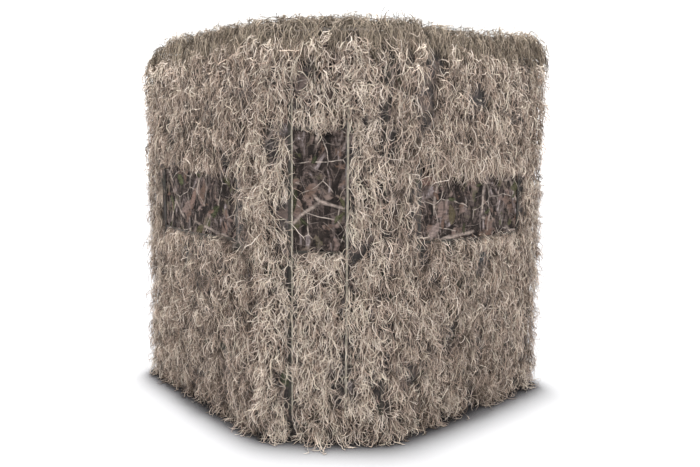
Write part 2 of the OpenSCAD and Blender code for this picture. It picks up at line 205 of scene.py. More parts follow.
class Tree:
    """A material's node tree with short helpers. Sockets and plain values both go in as inputs."""

    def __init__(self, name, **principled):
        self.mat = bpy.data.materials.new(name)
        self.mat.use_nodes = True
        self.nt = self.mat.node_tree
        self.p = next(n for n in self.nt.nodes if n.type == "BSDF_PRINCIPLED")
        for k, v in principled.items():
            self.p.inputs[k.replace("_", " ")].default_value = v

    def node(self, kind, ins=None, **props):
        n = self.nt.nodes.new("ShaderNode" + kind)
        for k, v in props.items():
            setattr(n, k, v)
        for k, v in (ins or {}).items():
            if isinstance(v, bpy.types.NodeSocket):
                self.nt.links.new(v, n.inputs[k])
            else:
                n.inputs[k].default_value = v
        return n

    def math(self, op, a, b=0.0, c=0.0, clamp=False):
        n = self.node("Math", {0: a, 1: b, 2: c}, operation=op, use_clamp=clamp)
        return n.outputs[0]

    def vmath(self, op, a, b=(0, 0, 0)):
        n = self.node("VectorMath", {0: a}, operation=op)
        if op == "SCALE":
            n.inputs[3].default_value = b
        elif isinstance(b, bpy.types.NodeSocket):
            self.nt.links.new(b, n.inputs[1])
        else:
            n.inputs[1].default_value = b
        return n.outputs[0]

    def mix(self, fac, a, b, blend="MIX"):
        n = self.node("Mix", {0: fac, 6: a, 7: b}, data_type="RGBA", blend_type=blend)
        return n.outputs[2]

    def step(self, x, low, high, to0=0.0, to1=1.0):
        n = self.node(
            "MapRange",
            {"Value": x, "From Min": low, "From Max": high, "To Min": to0, "To Max": to1},
            interpolation_type="SMOOTHSTEP",
        )
        return n.outputs[0]

    def ramp(self, fac, stops, how="LINEAR"):
        n = self.node("ValToRGB", {0: fac})
        n.color_ramp.interpolation = how
        e = n.color_ramp.elements
        while len(e) < len(stops):
            e.new(0.5)
        for i, (at, colour) in enumerate(stops):
            e[i].position = at
            e[i].color = (*colour, 1)
        return n.outputs[0]

    def noise(self, vec, scale, detail=2.0, rough=0.5, distort=0.0, out=0, dims="3D"):
        n = self.node(
            "TexNoise",
            {"Vector": vec, "Scale": scale, "Detail": detail, "Roughness": rough, "Distortion": distort},
            noise_dimensions=dims,
        )
        return n.outputs[out]

    def uv(self, name):
        return self.node("UVMap", uv_map=name).outputs[0]

    def place(self):
        return self.node("TexCoord").outputs["Object"]

    def parts(self, vec):
        n = self.node("SeparateXYZ", {0: vec})
        return n.outputs[0], n.outputs[1], n.outputs[2]

    def bump(self, height, strength, distance):
        n = self.node("Bump", {"Height": height, "Strength": strength, "Distance": distance})
        self.nt.links.new(n.outputs[0], self.p.inputs["Normal"])

    def colour(self, socket):
        self.nt.links.new(socket, self.p.inputs["Base Color"])
        return self

    def rough(self, socket):
        self.nt.links.new(socket, self.p.inputs["Roughness"])
        return self


def leaf_layer(t, vec, scale, shift, keep, tones, slim):
    """One layer of separate leaves: mask and colour. Each Voronoi cell holds one turned leaf."""
    moved = t.vmath("ADD", vec, shift)
    cell = t.node("TexVoronoi", {"Vector": moved, "Scale": scale}, voronoi_dimensions="2D")
    local = t.vmath("SCALE", t.vmath("SUBTRACT", moved, cell.outputs["Position"]), scale)
    pick = t.node("SeparateColor", {0: cell.outputs["Color"]})
    spin = t.node(
        "VectorRotate",
        {"Vector": local, "Angle": t.math("MULTIPLY", pick.outputs[0], 6.283)},
        rotation_type="Z_AXIS",
    )
    x, y, _ = t.parts(spin.outputs[0])
    bend = t.math("MULTIPLY", t.math("MULTIPLY", x, x), 0.5)
    y = t.math("SUBTRACT", y, bend)
    xx = t.math("MULTIPLY", t.math("MULTIPLY", x, x), 4.6)
    half = t.math("MULTIPLY", t.math("SUBTRACT", 1.0, xx), slim)
    edge = t.math("SUBTRACT", half, t.math("ABSOLUTE", y))
    mask = t.step(edge, 0.0, 0.05, 0.0, 0.9)
    mask = t.math("MULTIPLY", mask, t.math("LESS_THAN", pick.outputs[2], keep))
    colour = t.ramp(pick.outputs[1], tones)
    rib = t.step(t.math("ABSOLUTE", y), 0.0, 0.022, 1.0, 0.0)
    colour = t.mix(t.math("MULTIPLY", rib, 0.3), colour, (0.24, 0.20, 0.15, 1))
    veins = t.noise(spin.outputs[0], 14.0, 3.0, 0.6)
    colour = t.mix(0.55, colour, t.ramp(veins, [(0.3, (0.25, 0.25, 0.25)), (0.7, (1, 1, 1))]), "MULTIPLY")
    shade = t.step(edge, 0.0, 0.09, 0.55, 1.0)
    colour = t.mix(1.0, colour, t.node("CombineXYZ", {0: shade, 1: shade, 2: shade}).outputs[0], "MULTIPLY")
    return mask, colour


def camo(t, vec, gain=1.0):
    """Bark, branches and leaves as a woodland print, from coordinates in metres."""
    x, y, _ = t.parts(vec)
    stretched = t.node("CombineXYZ", {0: x, 1: t.math("MULTIPLY", y, 0.35), 2: 0.0}).outputs[0]
    bark = t.noise(stretched, 21.0, 7.0, 0.66, 1.4)
    colour = t.ramp(
        bark,
        [
            (0.32, (0.010, 0.009, 0.008)),
            (0.48, (0.028, 0.022, 0.018)),
            (0.59, (0.095, 0.073, 0.060)),
            (0.71, (0.36, 0.31, 0.285)),
        ],
    )
    blot = t.noise(t.vmath("ADD", vec, (4.4, 1.3, 0)), 13.0, 5.0, 0.62, 0.8)
    blot_tones = [
        (0.40, (0.13, 0.085, 0.060)),
        (0.50, (0.21, 0.155, 0.125)),
        (0.60, (0.075, 0.072, 0.036)),
    ]
    tint = t.ramp(t.noise(vec, 6.0, 2.0), blot_tones)
    colour = t.mix(t.step(blot, 0.52, 0.60, 0.0, 0.85), colour, tint)
    wobble = t.noise(vec, 5.0, 2.0, out=1)
    bent = t.vmath("ADD", vec, t.vmath("SCALE", wobble, 0.07))
    twig_layers = (
        (3.1, 0.034, (0.36, 0.295, 0.235)),
        (6.3, 0.018, (0.44, 0.375, 0.30)),
        (11.5, 0.024, (0.17, 0.14, 0.115)),
    )
    for scale, wide, tone in twig_layers:
        net = t.node(
            "TexVoronoi",
            {"Vector": t.vmath("ADD", bent, (scale, 1.7, 0)), "Scale": scale},
            voronoi_dimensions="2D",
            feature="DISTANCE_TO_EDGE",
        ).outputs["Distance"]
        gate = t.step(t.noise(vec, 3.1 + scale, 1.0), 0.42, 0.5)
        twig = t.math("MULTIPLY", t.step(net, wide * 0.55, wide, 1.0, 0.0), gate)
        body = t.step(net, 0.0, wide, 1.0, 0.35)
        twig = t.math("MULTIPLY", twig, t.step(t.noise(vec, 35.0, 3.0), 0.30, 0.55, 0.25, 1.0))
        lit = t.mix(1.0, (*tone, 1), t.node("CombineXYZ", {0: body, 1: body, 2: body}).outputs[0], "MULTIPLY")
        colour = t.mix(twig, colour, lit)
    tones = [
        (0.12, (0.045, 0.050, 0.024)),
        (0.34, (0.085, 0.092, 0.042)),
        (0.52, (0.125, 0.075, 0.050)),
        (0.70, (0.25, 0.165, 0.125)),
        (0.90, (0.31, 0.25, 0.21)),
    ]
    for scale, shift, keep, slim in ((8.0, (3.1, 0.7, 0), 0.26, 0.20), (15.0, (0.4, 5.2, 0), 0.20, 0.16)):
        mask, leaf = leaf_layer(t, vec, scale, shift, keep, tones, slim)
        colour = t.mix(mask, colour, leaf)
    grain_at = t.node("CombineXYZ", {0: t.math("MULTIPLY", x, 0.4), 1: y, 2: 0.0}).outputs[0]
    grain = t.noise(grain_at, 90.0, 5.0, 0.7)
    grain = t.ramp(grain, [(0.36, (0.35, 0.35, 0.37)), (0.62, (1.25, 1.25, 1.27))])
    colour = t.mix(0.75, colour, grain, "MULTIPLY")
    return t.mix(1.0, colour, (gain, gain, gain * 1.08, 1), "MULTIPLY")


def weave(t, vec, pitch):
    """Height of a plain weave, from coordinates in metres."""
    x, y, _ = t.parts(vec)
    a = t.math("SINE", t.math("MULTIPLY", x, 2 * math.pi / pitch))
    b = t.math("SINE", t.math("MULTIPLY", y, 2 * math.pi / pitch))
    return t.math("MULTIPLY", a, b)


def camo_fabric():
    t = Tree("camo_print_fabric", Roughness=0.82, Sheen_Weight=0.15, Sheen_Roughness=0.5)
    vec = t.uv("Print")
    t.colour(camo(t, vec, 0.8))
    t.rough(t.step(t.noise(vec, 40.0, 2.0), 0.3, 0.7, 0.74, 0.9))
    t.bump(weave(t, vec, 0.0022), 0.25, 0.0004)
    return t.mat


def backing_fabric():
    t = Tree("black_backing", Roughness=0.6, Specular_IOR_Level=0.35)
    vec = t.uv("Print")
    tone = t.noise(vec, 6.0, 4.0, 0.6)
    t.colour(t.ramp(tone, [(0.3, (0.010, 0.010, 0.011)), (0.7, (0.024, 0.023, 0.023))]))
    t.rough(t.step(t.noise(vec, 25.0, 3.0), 0.3, 0.7, 0.5, 0.72))
    t.bump(t.math("ADD", weave(t, vec, 0.0025), t.noise(vec, 30.0, 3.0)), 0.3, 0.0006)
    return t.mat


def net_fabric():
    t = Tree("printed_window_net", Roughness=0.85, Alpha=0.86, Specular_IOR_Level=0.05)
    vec = t.uv("Print")
    t.colour(camo(t, t.vmath("ADD", vec, (0.37, 0.21, 0)), 1.25))
    t.rough(t.step(t.noise(vec, 50.0, 2.0), 0.3, 0.7, 0.72, 0.88))
    t.bump(weave(t, vec, 0.0018), 0.35, 0.0004)
    return t.mat


def webbing(name, colours, pitch=0.0022):
    t = Tree(name, Roughness=0.75, Sheen_Weight=0.1)
    vec = t.uv("Print")
    _, y, _ = t.parts(vec)
    rib = t.math("SINE", t.math("MULTIPLY", y, 2 * math.pi / pitch))
    tone = t.noise(vec, 55.0, 4.0, 0.65)
    colour = t.ramp(tone, [(0.3, colours[0]), (0.5, colours[1]), (0.7, colours[2])])
    # The colour darkens in the troughs of the ribs: painted shade in the weave's grooves.
    dark = t.step(rib, -1.0, 0.4, 0.7, 1.0)
    t.colour(t.mix(1.0, colour, t.node("CombineXYZ", {0: dark, 1: dark, 2: dark}).outputs[0], "MULTIPLY"))
    t.rough(t.step(tone, 0.3, 0.7, 0.65, 0.85))
    t.bump(rib, 0.4, 0.0005)
    return t.mat


def hard(name, dark, light, rough, metal=0.0, grain=220.0, wear=None):
    """Moulded plastic, cast or drawn metal: tone and gloss vary, and where a wear colour is given, noise
    patches wear to it.
    """
    t = Tree(name, Metallic=metal)
    vec = t.place()
    big = t.noise(vec, 18.0, 4.0, 0.6)
    colour = t.ramp(big, [(0.3, dark), (0.7, light)])
    if wear:
        rub = t.step(t.noise(vec, 70.0, 6.0, 0.7), 0.60, 0.70)
        colour = t.mix(t.math("MULTIPLY", rub, 0.6), colour, (*wear, 1))
    t.colour(colour)
    t.rough(t.step(t.noise(vec, 55.0, 4.0), 0.3, 0.7, rough - 0.1, rough + 0.12))
    t.bump(t.noise(vec, grain, 3.0, 0.6), 0.25, 0.0005)
    return t.mat


def rod_fibre():
    t = Tree("rod_fibreglass", Roughness=0.42, Specular_IOR_Level=0.5)
    vec = t.uv("Print")
    x, y, _ = t.parts(vec)
    fine_x = t.math("MULTIPLY", x, 900.0)
    fine_y = t.math("MULTIPLY", y, 9.0)
    drawn_out = t.node("CombineXYZ", {0: fine_x, 1: fine_y, 2: 0.0}).outputs[0]
    streak = t.noise(drawn_out, 1.0, 3.0, 0.6)
    streak_tones = [(0.3, (0.50, 0.49, 0.42)), (0.5, (0.66, 0.65, 0.57)), (0.72, (0.78, 0.77, 0.70))]
    t.colour(t.ramp(streak, streak_tones))
    t.rough(t.step(streak, 0.3, 0.7, 0.36, 0.5))
    t.bump(streak, 0.2, 0.0003)
    return t.mat


CELLS = 16
GRASS_BANDS = 16


def grass_material(name, low, mid, high, tip):
    """Dry strands. Each strand's UV cell sets its tone: the row its brightness, the column its hue."""
    t = Tree(name, Roughness=0.78, Specular_IOR_Level=0.28)
    vec = t.vmath("SCALE", t.uv("OFBake"), float(CELLS))
    cell = t.vmath("FLOOR", vec)
    inside = t.vmath("FRACTION", vec)
    _, row, _ = t.parts(cell)
    across, along, _ = t.parts(inside)
    level = t.math("DIVIDE", t.math("ADD", row, 0.5), float(CELLS))
    base = t.ramp(level, [(0.02, low), (0.5, mid), (0.98, high)])
    dice = t.node("TexWhiteNoise", {"Vector": cell}, noise_dimensions="2D").outputs[0]
    hues = [
        (0.1, (1.0, 0.98, 0.96)),
        (0.45, (0.98, 0.95, 0.90)),
        (0.75, (0.94, 0.95, 0.86)),
        (0.95, (1.0, 0.90, 0.83)),
    ]
    hue = t.ramp(dice, hues)
    colour = t.mix(1.0, base, hue, "MULTIPLY")
    fine_across = t.math("MULTIPLY", across, 7.0)
    fine_along = t.math("MULTIPLY", along, 2.5)
    fibre = t.node("CombineXYZ", {0: fine_across, 1: fine_along, 2: dice}).outputs[0]
    streak = t.noise(t.vmath("ADD", fibre, cell), 1.7, 3.0, 0.6)
    colour = t.mix(0.5, colour, t.ramp(streak, [(0.32, (0.45, 0.43, 0.40)), (0.6, (1, 1, 1))]), "MULTIPLY")
    # Towards the root the colour sinks to the low tone, a painted shade deep in the tuft; towards the tip it
    # lightens to the tip tone, a painted highlight on the free ends.
    colour = t.mix(t.step(along, 0.0, 0.5, 0.75, 0.0), colour, (*low, 1))
    colour = t.mix(t.step(along, 0.75, 1.0, 0.0, 0.35), colour, (*tip, 1))
    t.colour(colour)
    return t.mat


CAMO = camo_fabric()
BACKING = backing_fabric()
NET = net_fabric()
BLACK_WEB = webbing("black_webbing", [(0.012, 0.012, 0.012), (0.022, 0.021, 0.020), (0.035, 0.034, 0.032)])
TAPE = webbing("tan_olive_tape", [(0.20, 0.185, 0.125), (0.42, 0.375, 0.305), (0.60, 0.545, 0.47)], 0.0016)
CORD = webbing("dark_seam_cord", [(0.018, 0.016, 0.013), (0.045, 0.040, 0.032), (0.09, 0.08, 0.065)], 0.0016)
HUB = hard("cast_hub", (0.012, 0.012, 0.012), (0.035, 0.034, 0.033), 0.5, 0.6, 260.0, (0.22, 0.21, 0.20))
PLASTIC = hard("moulded_black", (0.010, 0.010, 0.010), (0.022, 0.022, 0.022), 0.45, 0.0, 420.0)
SOCKET = hard("moulded_socket", (0.020, 0.020, 0.019), (0.042, 0.041, 0.039), 0.58, 0.0, 300.0)
STEEL = hard("drawn_steel", (0.42, 0.42, 0.43), (0.62, 0.62, 0.63), 0.32, 1.0, 500.0, (0.20, 0.17, 0.14))
ENAMEL = hard(
    "black_enamel", (0.010, 0.010, 0.010), (0.025, 0.024, 0.023), 0.34, 0.3, 500.0, (0.30, 0.26, 0.18)
)
FIBRE = rod_fibre()
STRAW = grass_material(
    "dry_grass", (0.11, 0.083, 0.065), (0.62, 0.50, 0.435), (1.0, 0.90, 0.81), (0.88, 0.755, 0.66)
)
# The roof's grass is a much darker copy of the wall grass: painted shade that offsets the overhead sun on the
# roof.
PAINTED_SHADE_THATCH = grass_material(
    "roof_grass_dry", (0.044, 0.035, 0.027), (0.198, 0.161, 0.129), (0.54, 0.46, 0.38), (0.34, 0.29, 0.235)
)

# ---------------------------------------------------------------- meshes


def link(name, mesh, mats):
    for m in mats:
        mesh.materials.append(m)
    mesh.polygons.foreach_set("use_smooth", [True] * len(mesh.polygons))
    mesh.update()
    ob = bpy.data.objects.new(name, mesh)
    bpy.context.scene.collection.objects.link(ob)
    return ob


def poly_mesh(name, verts, faces, uvs=None, slots=None):
    """A mesh from points and faces, with the Print map from one coordinate pair per point."""
    mesh = bpy.data.meshes.new(name)
    mesh.from_pydata([tuple(map(float, v)) for v in verts], [], [tuple(map(int, f)) for f in faces])
    layer = mesh.uv_layers.new(name="Print")
    if uvs is not None:
        loops = np.zeros(len(mesh.loops), int)
        mesh.loops.foreach_get("vertex_index", loops)
        layer.data.foreach_set("uv", np.asarray(uvs, np.float32)[loops].ravel())
    if slots is not None:
        mesh.polygons.foreach_set("material_index", np.asarray(slots, np.int32))
    return mesh


def cloth(name, panel, us, vs, depth, keep, thick=0.0008, mats=None, shape=None, shift=(0, 0)):
    """A closed sheet over a grid in a panel's frame. keep(u, v) says which grid squares are there."""
    us, vs = np.asarray(us, float), np.asarray(vs, float)
    uu, vv = np.meshgrid(us, vs)
    w = (panel.surface(uu, vv) if shape is None else shape(uu, vv)) + depth
    nu, nv = len(us), len(vs)
    outer = panel.at(uu, vv, w + thick / 2).reshape(-1, 3)
    inner = panel.at(uu, vv, w - thick / 2).reshape(-1, 3)
    mid_u, mid_v = (us[1:] + us[:-1]) / 2, (vs[1:] + vs[:-1]) / 2
    there = keep(*np.meshgrid(mid_u, mid_v))
    there = np.broadcast_to(there, (nv - 1, nu - 1))
    n = nu * nv
    faces, slots = [], []
    for j in range(nv - 1):
        for i in range(nu - 1):
            if not there[j, i]:
                continue
            a, b = j * nu + i, j * nu + i + 1
            c, d = a + nu + 1, a + nu
            faces += [(a, b, c, d), (a + n, d + n, c + n, b + n)]
            slots += [0, 1]
            for p, q, dj, di in ((a, b, -1, 0), (b, c, 0, 1), (c, d, 1, 0), (d, a, 0, -1)):
                jj, ii = j + dj, i + di
                if not (0 <= jj < nv - 1 and 0 <= ii < nu - 1 and there[jj, ii]):
                    faces.append((p, p + n, q + n, q))
                    slots.append(0)
    used = np.unique(np.array([x for f in faces for x in f]))
    remap = np.full(2 * n, -1)
    remap[used] = np.arange(len(used))
    verts = np.concatenate([outer, inner])[used]
    flat = np.stack([uu + shift[0], vv + shift[1]], -1).reshape(-1, 2)
    uvs = np.concatenate([flat, flat])[used]
    mesh = poly_mesh(name, verts, [[remap[x] for x in f] for f in faces], uvs, slots)
    return link(name, mesh, mats or [CAMO, BACKING])


def marks(low, high, pitch, *must):
    """Grid lines from low to high that pass through every value of must."""
    stops = sorted({low, high, *[m for m in must if low < m < high]})
    out = []
    for a, b in zip(stops[:-1], stops[1:]):
        out += list(np.linspace(a, b, max(1, round((b - a) / pitch)) + 1)[:-1])
    return np.array(out + [stops[-1]])


def ripple(uu, vv, size, seed):
    """Small smooth waves, for cloth that isn't quite flat."""
    rng = np.random.default_rng(seed)
    out = np.zeros(np.shape(uu))
    for _ in range(7):
        k = rng.uniform(6, 26)
        a = rng.uniform(0, math.pi)
        out += np.sin(k * (uu * math.cos(a) + vv * math.sin(a)) + rng.uniform(0, 6.3)) * rng.uniform(0.3, 1)
    return size * out / 3.5


def tube(points, radius, sides=8):
    """Points, faces and print coordinates of a round tube along a path."""
    points = np.asarray(points, float)
    k = len(points)
    radius = np.broadcast_to(radius, k)
    tangent = np.gradient(points, axis=0)
    tangent /= np.linalg.norm(tangent, axis=1)[:, None]
    ref = np.array([0, 0, 1.0]) if abs(tangent[0][2]) < 0.9 else np.array([1.0, 0, 0])
    a = np.cross(tangent, ref)
    a /= np.linalg.norm(a, axis=1)[:, None]
    b = np.cross(tangent, a)
    angle = np.arange(sides) / sides * 2 * math.pi
    ring = points[:, None] + radius[:, None, None] * (
        np.cos(angle)[None, :, None] * a[:, None] + np.sin(angle)[None, :, None] * b[:, None]
    )
    verts = ring.reshape(-1, 3)
    run = np.concatenate([[0], np.cumsum(np.linalg.norm(np.diff(points, axis=0), axis=1))])
    uvs = np.stack(np.broadcast_arrays(angle[None] * 0.004, run[:, None]), -1).reshape(-1, 2)
    faces = [
        (j * sides + i, j * sides + (i + 1) % sides, (j + 1) * sides + (i + 1) % sides, (j + 1) * sides + i)
        for j in range(k - 1)
        for i in range(sides)
    ]
    faces.append(tuple(reversed(range(sides))))
    faces.append(tuple(range((k - 1) * sides, k * sides)))
    return verts, faces, uvs


def merge(parts):
    """Joins (points, faces, coordinates, slot) groups into one set."""
    verts, faces, uvs, slots, n = [], [], [], [], 0
    for v, f, c, s in parts:
        verts.append(v)
        uvs.append(c)
        faces += [tuple(int(x) + n for x in g) for g in f]
        slots += [s] * len(f)
        n += len(v)
    return np.concatenate(verts), faces, np.concatenate(uvs), slots


def flip(faces):
    return [tuple(reversed(f)) for f in faces]


# ---------------------------------------------------------------- grass


def strand_mesh(name, strands):
    """One mesh of closed three-sided strands, with a UV cell for each."""
    path, width, cell = strands.path, strands.width, strands.cell
    n, k, _ = path.shape
    t = np.gradient(path, axis=1)
    t /= np.linalg.norm(t, axis=2, keepdims=True) + 1e-12
    a = np.cross(strands.face, t)
    a /= np.linalg.norm(a, axis=2, keepdims=True) + 1e-9
    b = np.cross(t, a)
    s = np.linspace(0, 1, k)
    wide = width[:, None, None] * (1 - 0.45 * s**3)[None, :, None]
    ring = np.stack([path + a * wide / 2, path + b * wide * 0.34, path - a * wide / 2], 2)
    verts = np.concatenate([path[:, :1], ring[:, 1:-1].reshape(n, -1, 3), path[:, -1:]], 1)
    nv = verts.shape[1]
    side = (0.12, 0.5, 0.88)
    r = lambda j, i: 1 + 3 * (j - 1) + i % 3
    along = lambda j: 0.04 + 0.92 * j / (k - 1)
    tris, uv = [], []
    for i in range(3):
        near, far = side[i], side[(i + 1) % 3]
        half = (near + far) / 2
        tris.append((0, r(1, i + 1), r(1, i)))
        uv += [(half, along(0)), (far, along(1)), (near, along(1))]
        for j in range(1, k - 2):
            tris += [(r(j, i), r(j, i + 1), r(j + 1, i + 1)), (r(j, i), r(j + 1, i + 1), r(j + 1, i))]
            uv += [(near, along(j)), (far, along(j)), (far, along(j + 1))]
            uv += [(near, along(j)), (far, along(j + 1)), (near, along(j + 1))]
        tris.append((r(k - 2, i), r(k - 2, i + 1), nv - 1))
        uv += [(near, along(k - 2)), (far, along(k - 2)), (half, along(k - 1))]
    index = np.array(tris)[None] + (np.arange(n) * nv)[:, None, None]
    at = (cell[:, None, :] + 0.06 + 0.88 * np.array(uv)[None]) / CELLS
    mesh = bpy.data.meshes.new(name)
    mesh.vertices.add(n * nv)
    mesh.vertices.foreach_set("co", verts.astype(np.float32).ravel())
    mesh.loops.add(index.size)
    mesh.loops.foreach_set("vertex_index", index.astype(np.int32).ravel())
    mesh.polygons.add(index.size // 3)
    mesh.polygons.foreach_set("loop_start", np.arange(0, index.size, 3, dtype=np.int32))
    mesh.update(calc_edges=True)
    mesh.uv_layers.new(name="OFBake").data.foreach_set("uv", at.astype(np.float32).ravel())
    mesh.validate()
    return link(name, mesh, [])


STATIONS = 6
STRAND_TRIS = 6 * (STATIONS - 2)
PIECE_TRIS = 186000


def tufts(rng, roots, out, down, side, tone, lean, count, long, lift, wide=0.0025):
    """Curled strands for tufts at roots. Arrays have one row per tuft; lift may differ between them."""
    n = len(roots)
    many = rng.poisson(count, n).clip(3)
    pick = np.repeat(np.arange(n), many)
    m = len(pick)
    tuft_turn = lean + rng.normal(0, 0.40, n)
    tuft_long = rng.uniform(0.65, 1.2, n)
    tuft_lift = lift * rng.uniform(0.55, 1.45, n)
    scatter = rng.normal(0, 1, (m, 2)) * (0.007, 0.010)
    root = roots[pick] + side[pick] * scatter[:, :1] + down[pick] * scatter[:, 1:]
    length = (long * tuft_long)[pick] * rng.uniform(0.6, 1.3, m)
    first = tuft_turn[pick] * 1.3 + rng.normal(0, 0.60, m)
    curl = rng.normal(0, 0.64, m) + tuft_turn[pick] * 0.3
    hooked = rng.random(m) < 0.20
    curl = np.where(hooked, np.sign(curl) * rng.uniform(1.6, 3.2, m), curl)
    length *= np.where(hooked, 0.62, 1.0)
    wave = rng.uniform(0.1, 0.75, m)
    phase = rng.uniform(0, 2 * math.pi, m)
    proud = tuft_lift[pick] * rng.gamma(2.4, 0.40, m).clip(0.1, 2.1)
    base = rng.uniform(0.001, 0.010, m)
    width = wide * rng.uniform(0.6, 1.35, m)
    # Strands that stand further out than their tuft's lift get lighter tone rows, those close to the cloth
    # darker: painted light and shade.
    level = tone[pick] + 3.2 * (proud / tuft_lift[pick] - 1.0) + rng.normal(0, 4.2, m)
    rows = np.clip(level, 0, CELLS - 1).astype(int)
    cell = np.stack([rng.integers(0, CELLS, m), rows], 1).astype(float)
    mid = (np.arange(STATIONS - 1) + 0.5) / (STATIONS - 1)
    sway = wave[:, None] * np.sin(phase[:, None] + 9 * mid)
    heading = first[:, None] * (1 - mid) ** 1.4 + curl[:, None] * mid + sway
    run = length[:, None] / (STATIONS - 1)
    start = np.zeros((m, 1))
    drop = np.concatenate([start, np.cumsum(run * np.cos(heading), 1)], 1)
    across = np.concatenate([start, np.cumsum(run * np.sin(heading), 1)], 1)
    t = np.linspace(0, 1, STATIONS)[None]
    off = base[:, None] + proud[:, None] * (1 - np.exp(-5 * t)) * (1 - 0.35 * t**2)
    off += 0.006 * np.sin(phase[:, None] * 2 + 7 * t) * t
    off = np.maximum(off, 0.001)
    path = root[:, None] + out[pick][:, None] * off[..., None]
    path += down[pick][:, None] * drop[..., None] + side[pick][:, None] * across[..., None]
    roll = rng.normal(0, 0.8, m)[:, None, None]
    face = out[pick][:, None] * np.cos(roll) + side[pick][:, None] * np.sin(roll)
    return Strands(path, np.broadcast_to(face, path.shape), out[pick], width, cell)


class Strands:
    """Paths (n, stations, 3) with each strand's flat side, outward way, width and UV cell."""

    def __init__(self, path, face, out, width, cell):
        self.path, self.face, self.out, self.width, self.cell = path, face, out, width, cell

    def only(self, keep):
        return Strands(self.path[keep], self.face[keep], self.out[keep], self.width[keep], self.cell[keep])

    def shorten(self, share):
        """Scales each strand about its root."""
        root = self.path[:, :1]
        self.path = root + (self.path - root) * share[:, None, None]

    def on_floor(self, low=0.004):
        """Strands that would go through the floor lie along it."""
        under = np.clip(low - self.path[..., 2], 0, None)
        self.path[..., 2] += under
        flat = self.out[:, None, :2] / (np.linalg.norm(self.out[:, None, :2], axis=-1, keepdims=True) + 1e-9)
        self.path[..., :2] += flat * (np.minimum(under, 0.07) * 0.75)[..., None]


def strand_pieces(name, strands):
    """Meshes of at most PIECE_TRIS triangles each, cut by height."""
    order = np.argsort(-strands.path[:, 0, 2], kind="stable")
    count = max(1, math.ceil(len(order) * STRAND_TRIS / PIECE_TRIS))
    return [
        strand_mesh(f"{name}_{i + 1}", strands.only(part))
        for i, part in enumerate(np.array_split(order, count))
    ]


def row_roots(rng, low_u, high_u, low_v, high_v, pitch_v=0.046, pitch_u=0.030, bald=15.0):
    """Tuft roots in sewn rows, with small gaps and bald spots (so many to a square metre)."""
    us, vs = [], []
    rows = max(1, round((high_v - low_v) / pitch_v))
    for r in range(rows):
        v = high_v - (r + 0.5) * (high_v - low_v) / rows
        n = max(1, int((high_u - low_u) / pitch_u * DENSITY))
        u = low_u + (np.arange(n) + rng.uniform(0, 1, n)) * (high_u - low_u) / n
        keep = rng.random(n) > 0.10
        u = u[keep]
        us.append(u)
        vs.append(v + rng.normal(0, 0.006, len(u)) + 0.006 * np.sin(u * 23 + r))
    u, v = np.concatenate(us), np.concatenate(vs)
    n = rng.poisson(bald * (high_u - low_u) * (high_v - low_v))
    size = rng.uniform(0.5, 1.3, n)
    spot_u, spot_v = rng.uniform(low_u, high_u, n), rng.uniform(low_v, high_v, n)
    away = np.hypot((u[:, None] - spot_u) / (0.028 * size), (v[:, None] - spot_v) / (0.060 * size))
    keep = (away > 1).all(1)
    return u[keep], v[keep]


def patch_tone(u, v, seed):
    """Slow changes of brightness over a panel."""
    return 1.6 * ripple(u * 0.35, v * 0.35, 1.0, seed) + 1.2 * ripple(u * 1.4, v * 1.4, 1.0, seed + 1)


# How much lighter than the rest a panel's grass is, in tone rows: painted light on the corner panel and the
# right front wall, painted shade on the left front wall
PANEL_PAINTED_LIGHT = {"corner": 3.4, "left_front": -0.9, "right_front": 0.3}


def ease(x):
    x = np.clip(x, 0, 1)
    return x * x * (3 - 2 * x)


def banded_pieces(name, strands, share, count, way, reach, body, at):
    """Meshes for bands of strands, one band for each share of a hub's travel.

    share is each strand's part of the travel, at gives the distance of a band's roots along way.
    """
    band = np.clip((share * count).astype(int), 0, count - 1)
    for i in range(count):
        if not (band == i).any():
            continue
        own = strands.only(band == i)
        part = float(share[band == i].mean())
        back = reach * (0.5 - math.sin(math.asin(1 - 2 * part) / 3))
        start = at(own) - np.array(way) * back
        for ob in strand_pieces(f"{name}_{i + 1}", own):
            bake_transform(ob)
            yield ob


def edge_strands(rng, corner, rise, above, pitch=0.018):
    """Strands along an upright edge of the shelter, up to a height above the eaves."""
    before, after = CORNERS[corner] - CORNERS[corner - 1], CORNERS[(corner + 1) % 5] - CORNERS[corner]
    normal = lambda d: np.array([d[1], -d[0], 0.0]) / np.linalg.norm(d)
    way = normal(before) + normal(after)
    way /= np.linalg.norm(way)
    low, high = 0.085, H + above
    n = int((high - low) / pitch * DENSITY)
    z = low + (high - low) * (np.arange(n) + rng.uniform(0, 1, n)) / n
    one = np.ones((n, 1))
    inwards = way * 0.5 * np.clip(z - H, 0, None)[:, None]
    roots = np.concatenate([CORNERS[corner] * one, z[:, None]], 1) - inwards
    side = np.array([-way[1], way[0], 0.0])
    tone = 7.6 + rng.normal(0, 2.8, n)
    down_way = np.array([0, 0, -1.0]) * one
    return tufts(rng, roots, way * one, down_way, side * one, tone, 0 * z, 14.0, 0.085, rise + 0 * z)


def panel_strands(key, rng, u, v, seed, foot=0.0, extra=0.0):
    """Strands for tufts at panel coordinates. They stand out further just above the ground."""
    panel = PANELS[key]
    du, dv = panel.slope(u, v)
    one = np.ones(len(u))
    roots = panel.at(u, v, panel.surface(u, v))
    down = panel.way(0 * one, -one, -dv)
    down /= np.linalg.norm(down, axis=1)[:, None]
    side = panel.way(one, 0 * one, du)
    side /= np.linalg.norm(side, axis=1)[:, None]
    out = panel.way(0 * one, 0 * one, one)
    tone = 7.6 + PANEL_PAINTED_LIGHT.get(key, 0.0) + patch_tone(u, v, seed) + rng.normal(0, 2.8, len(u))
    lean = 0.38 * ripple(u * 0.9, v * 0.9, 1.0, seed + 7)
    middle = 1 - np.clip(np.abs(u) / (panel.width / 2), 0, 1) ** 2
    rise = 0.026 * (1 + (0.5 + foot * middle) * np.exp(-v / 0.10))
    return tufts(rng, roots, out, down, side, tone, lean, 16.0, 0.098 + extra, rise)


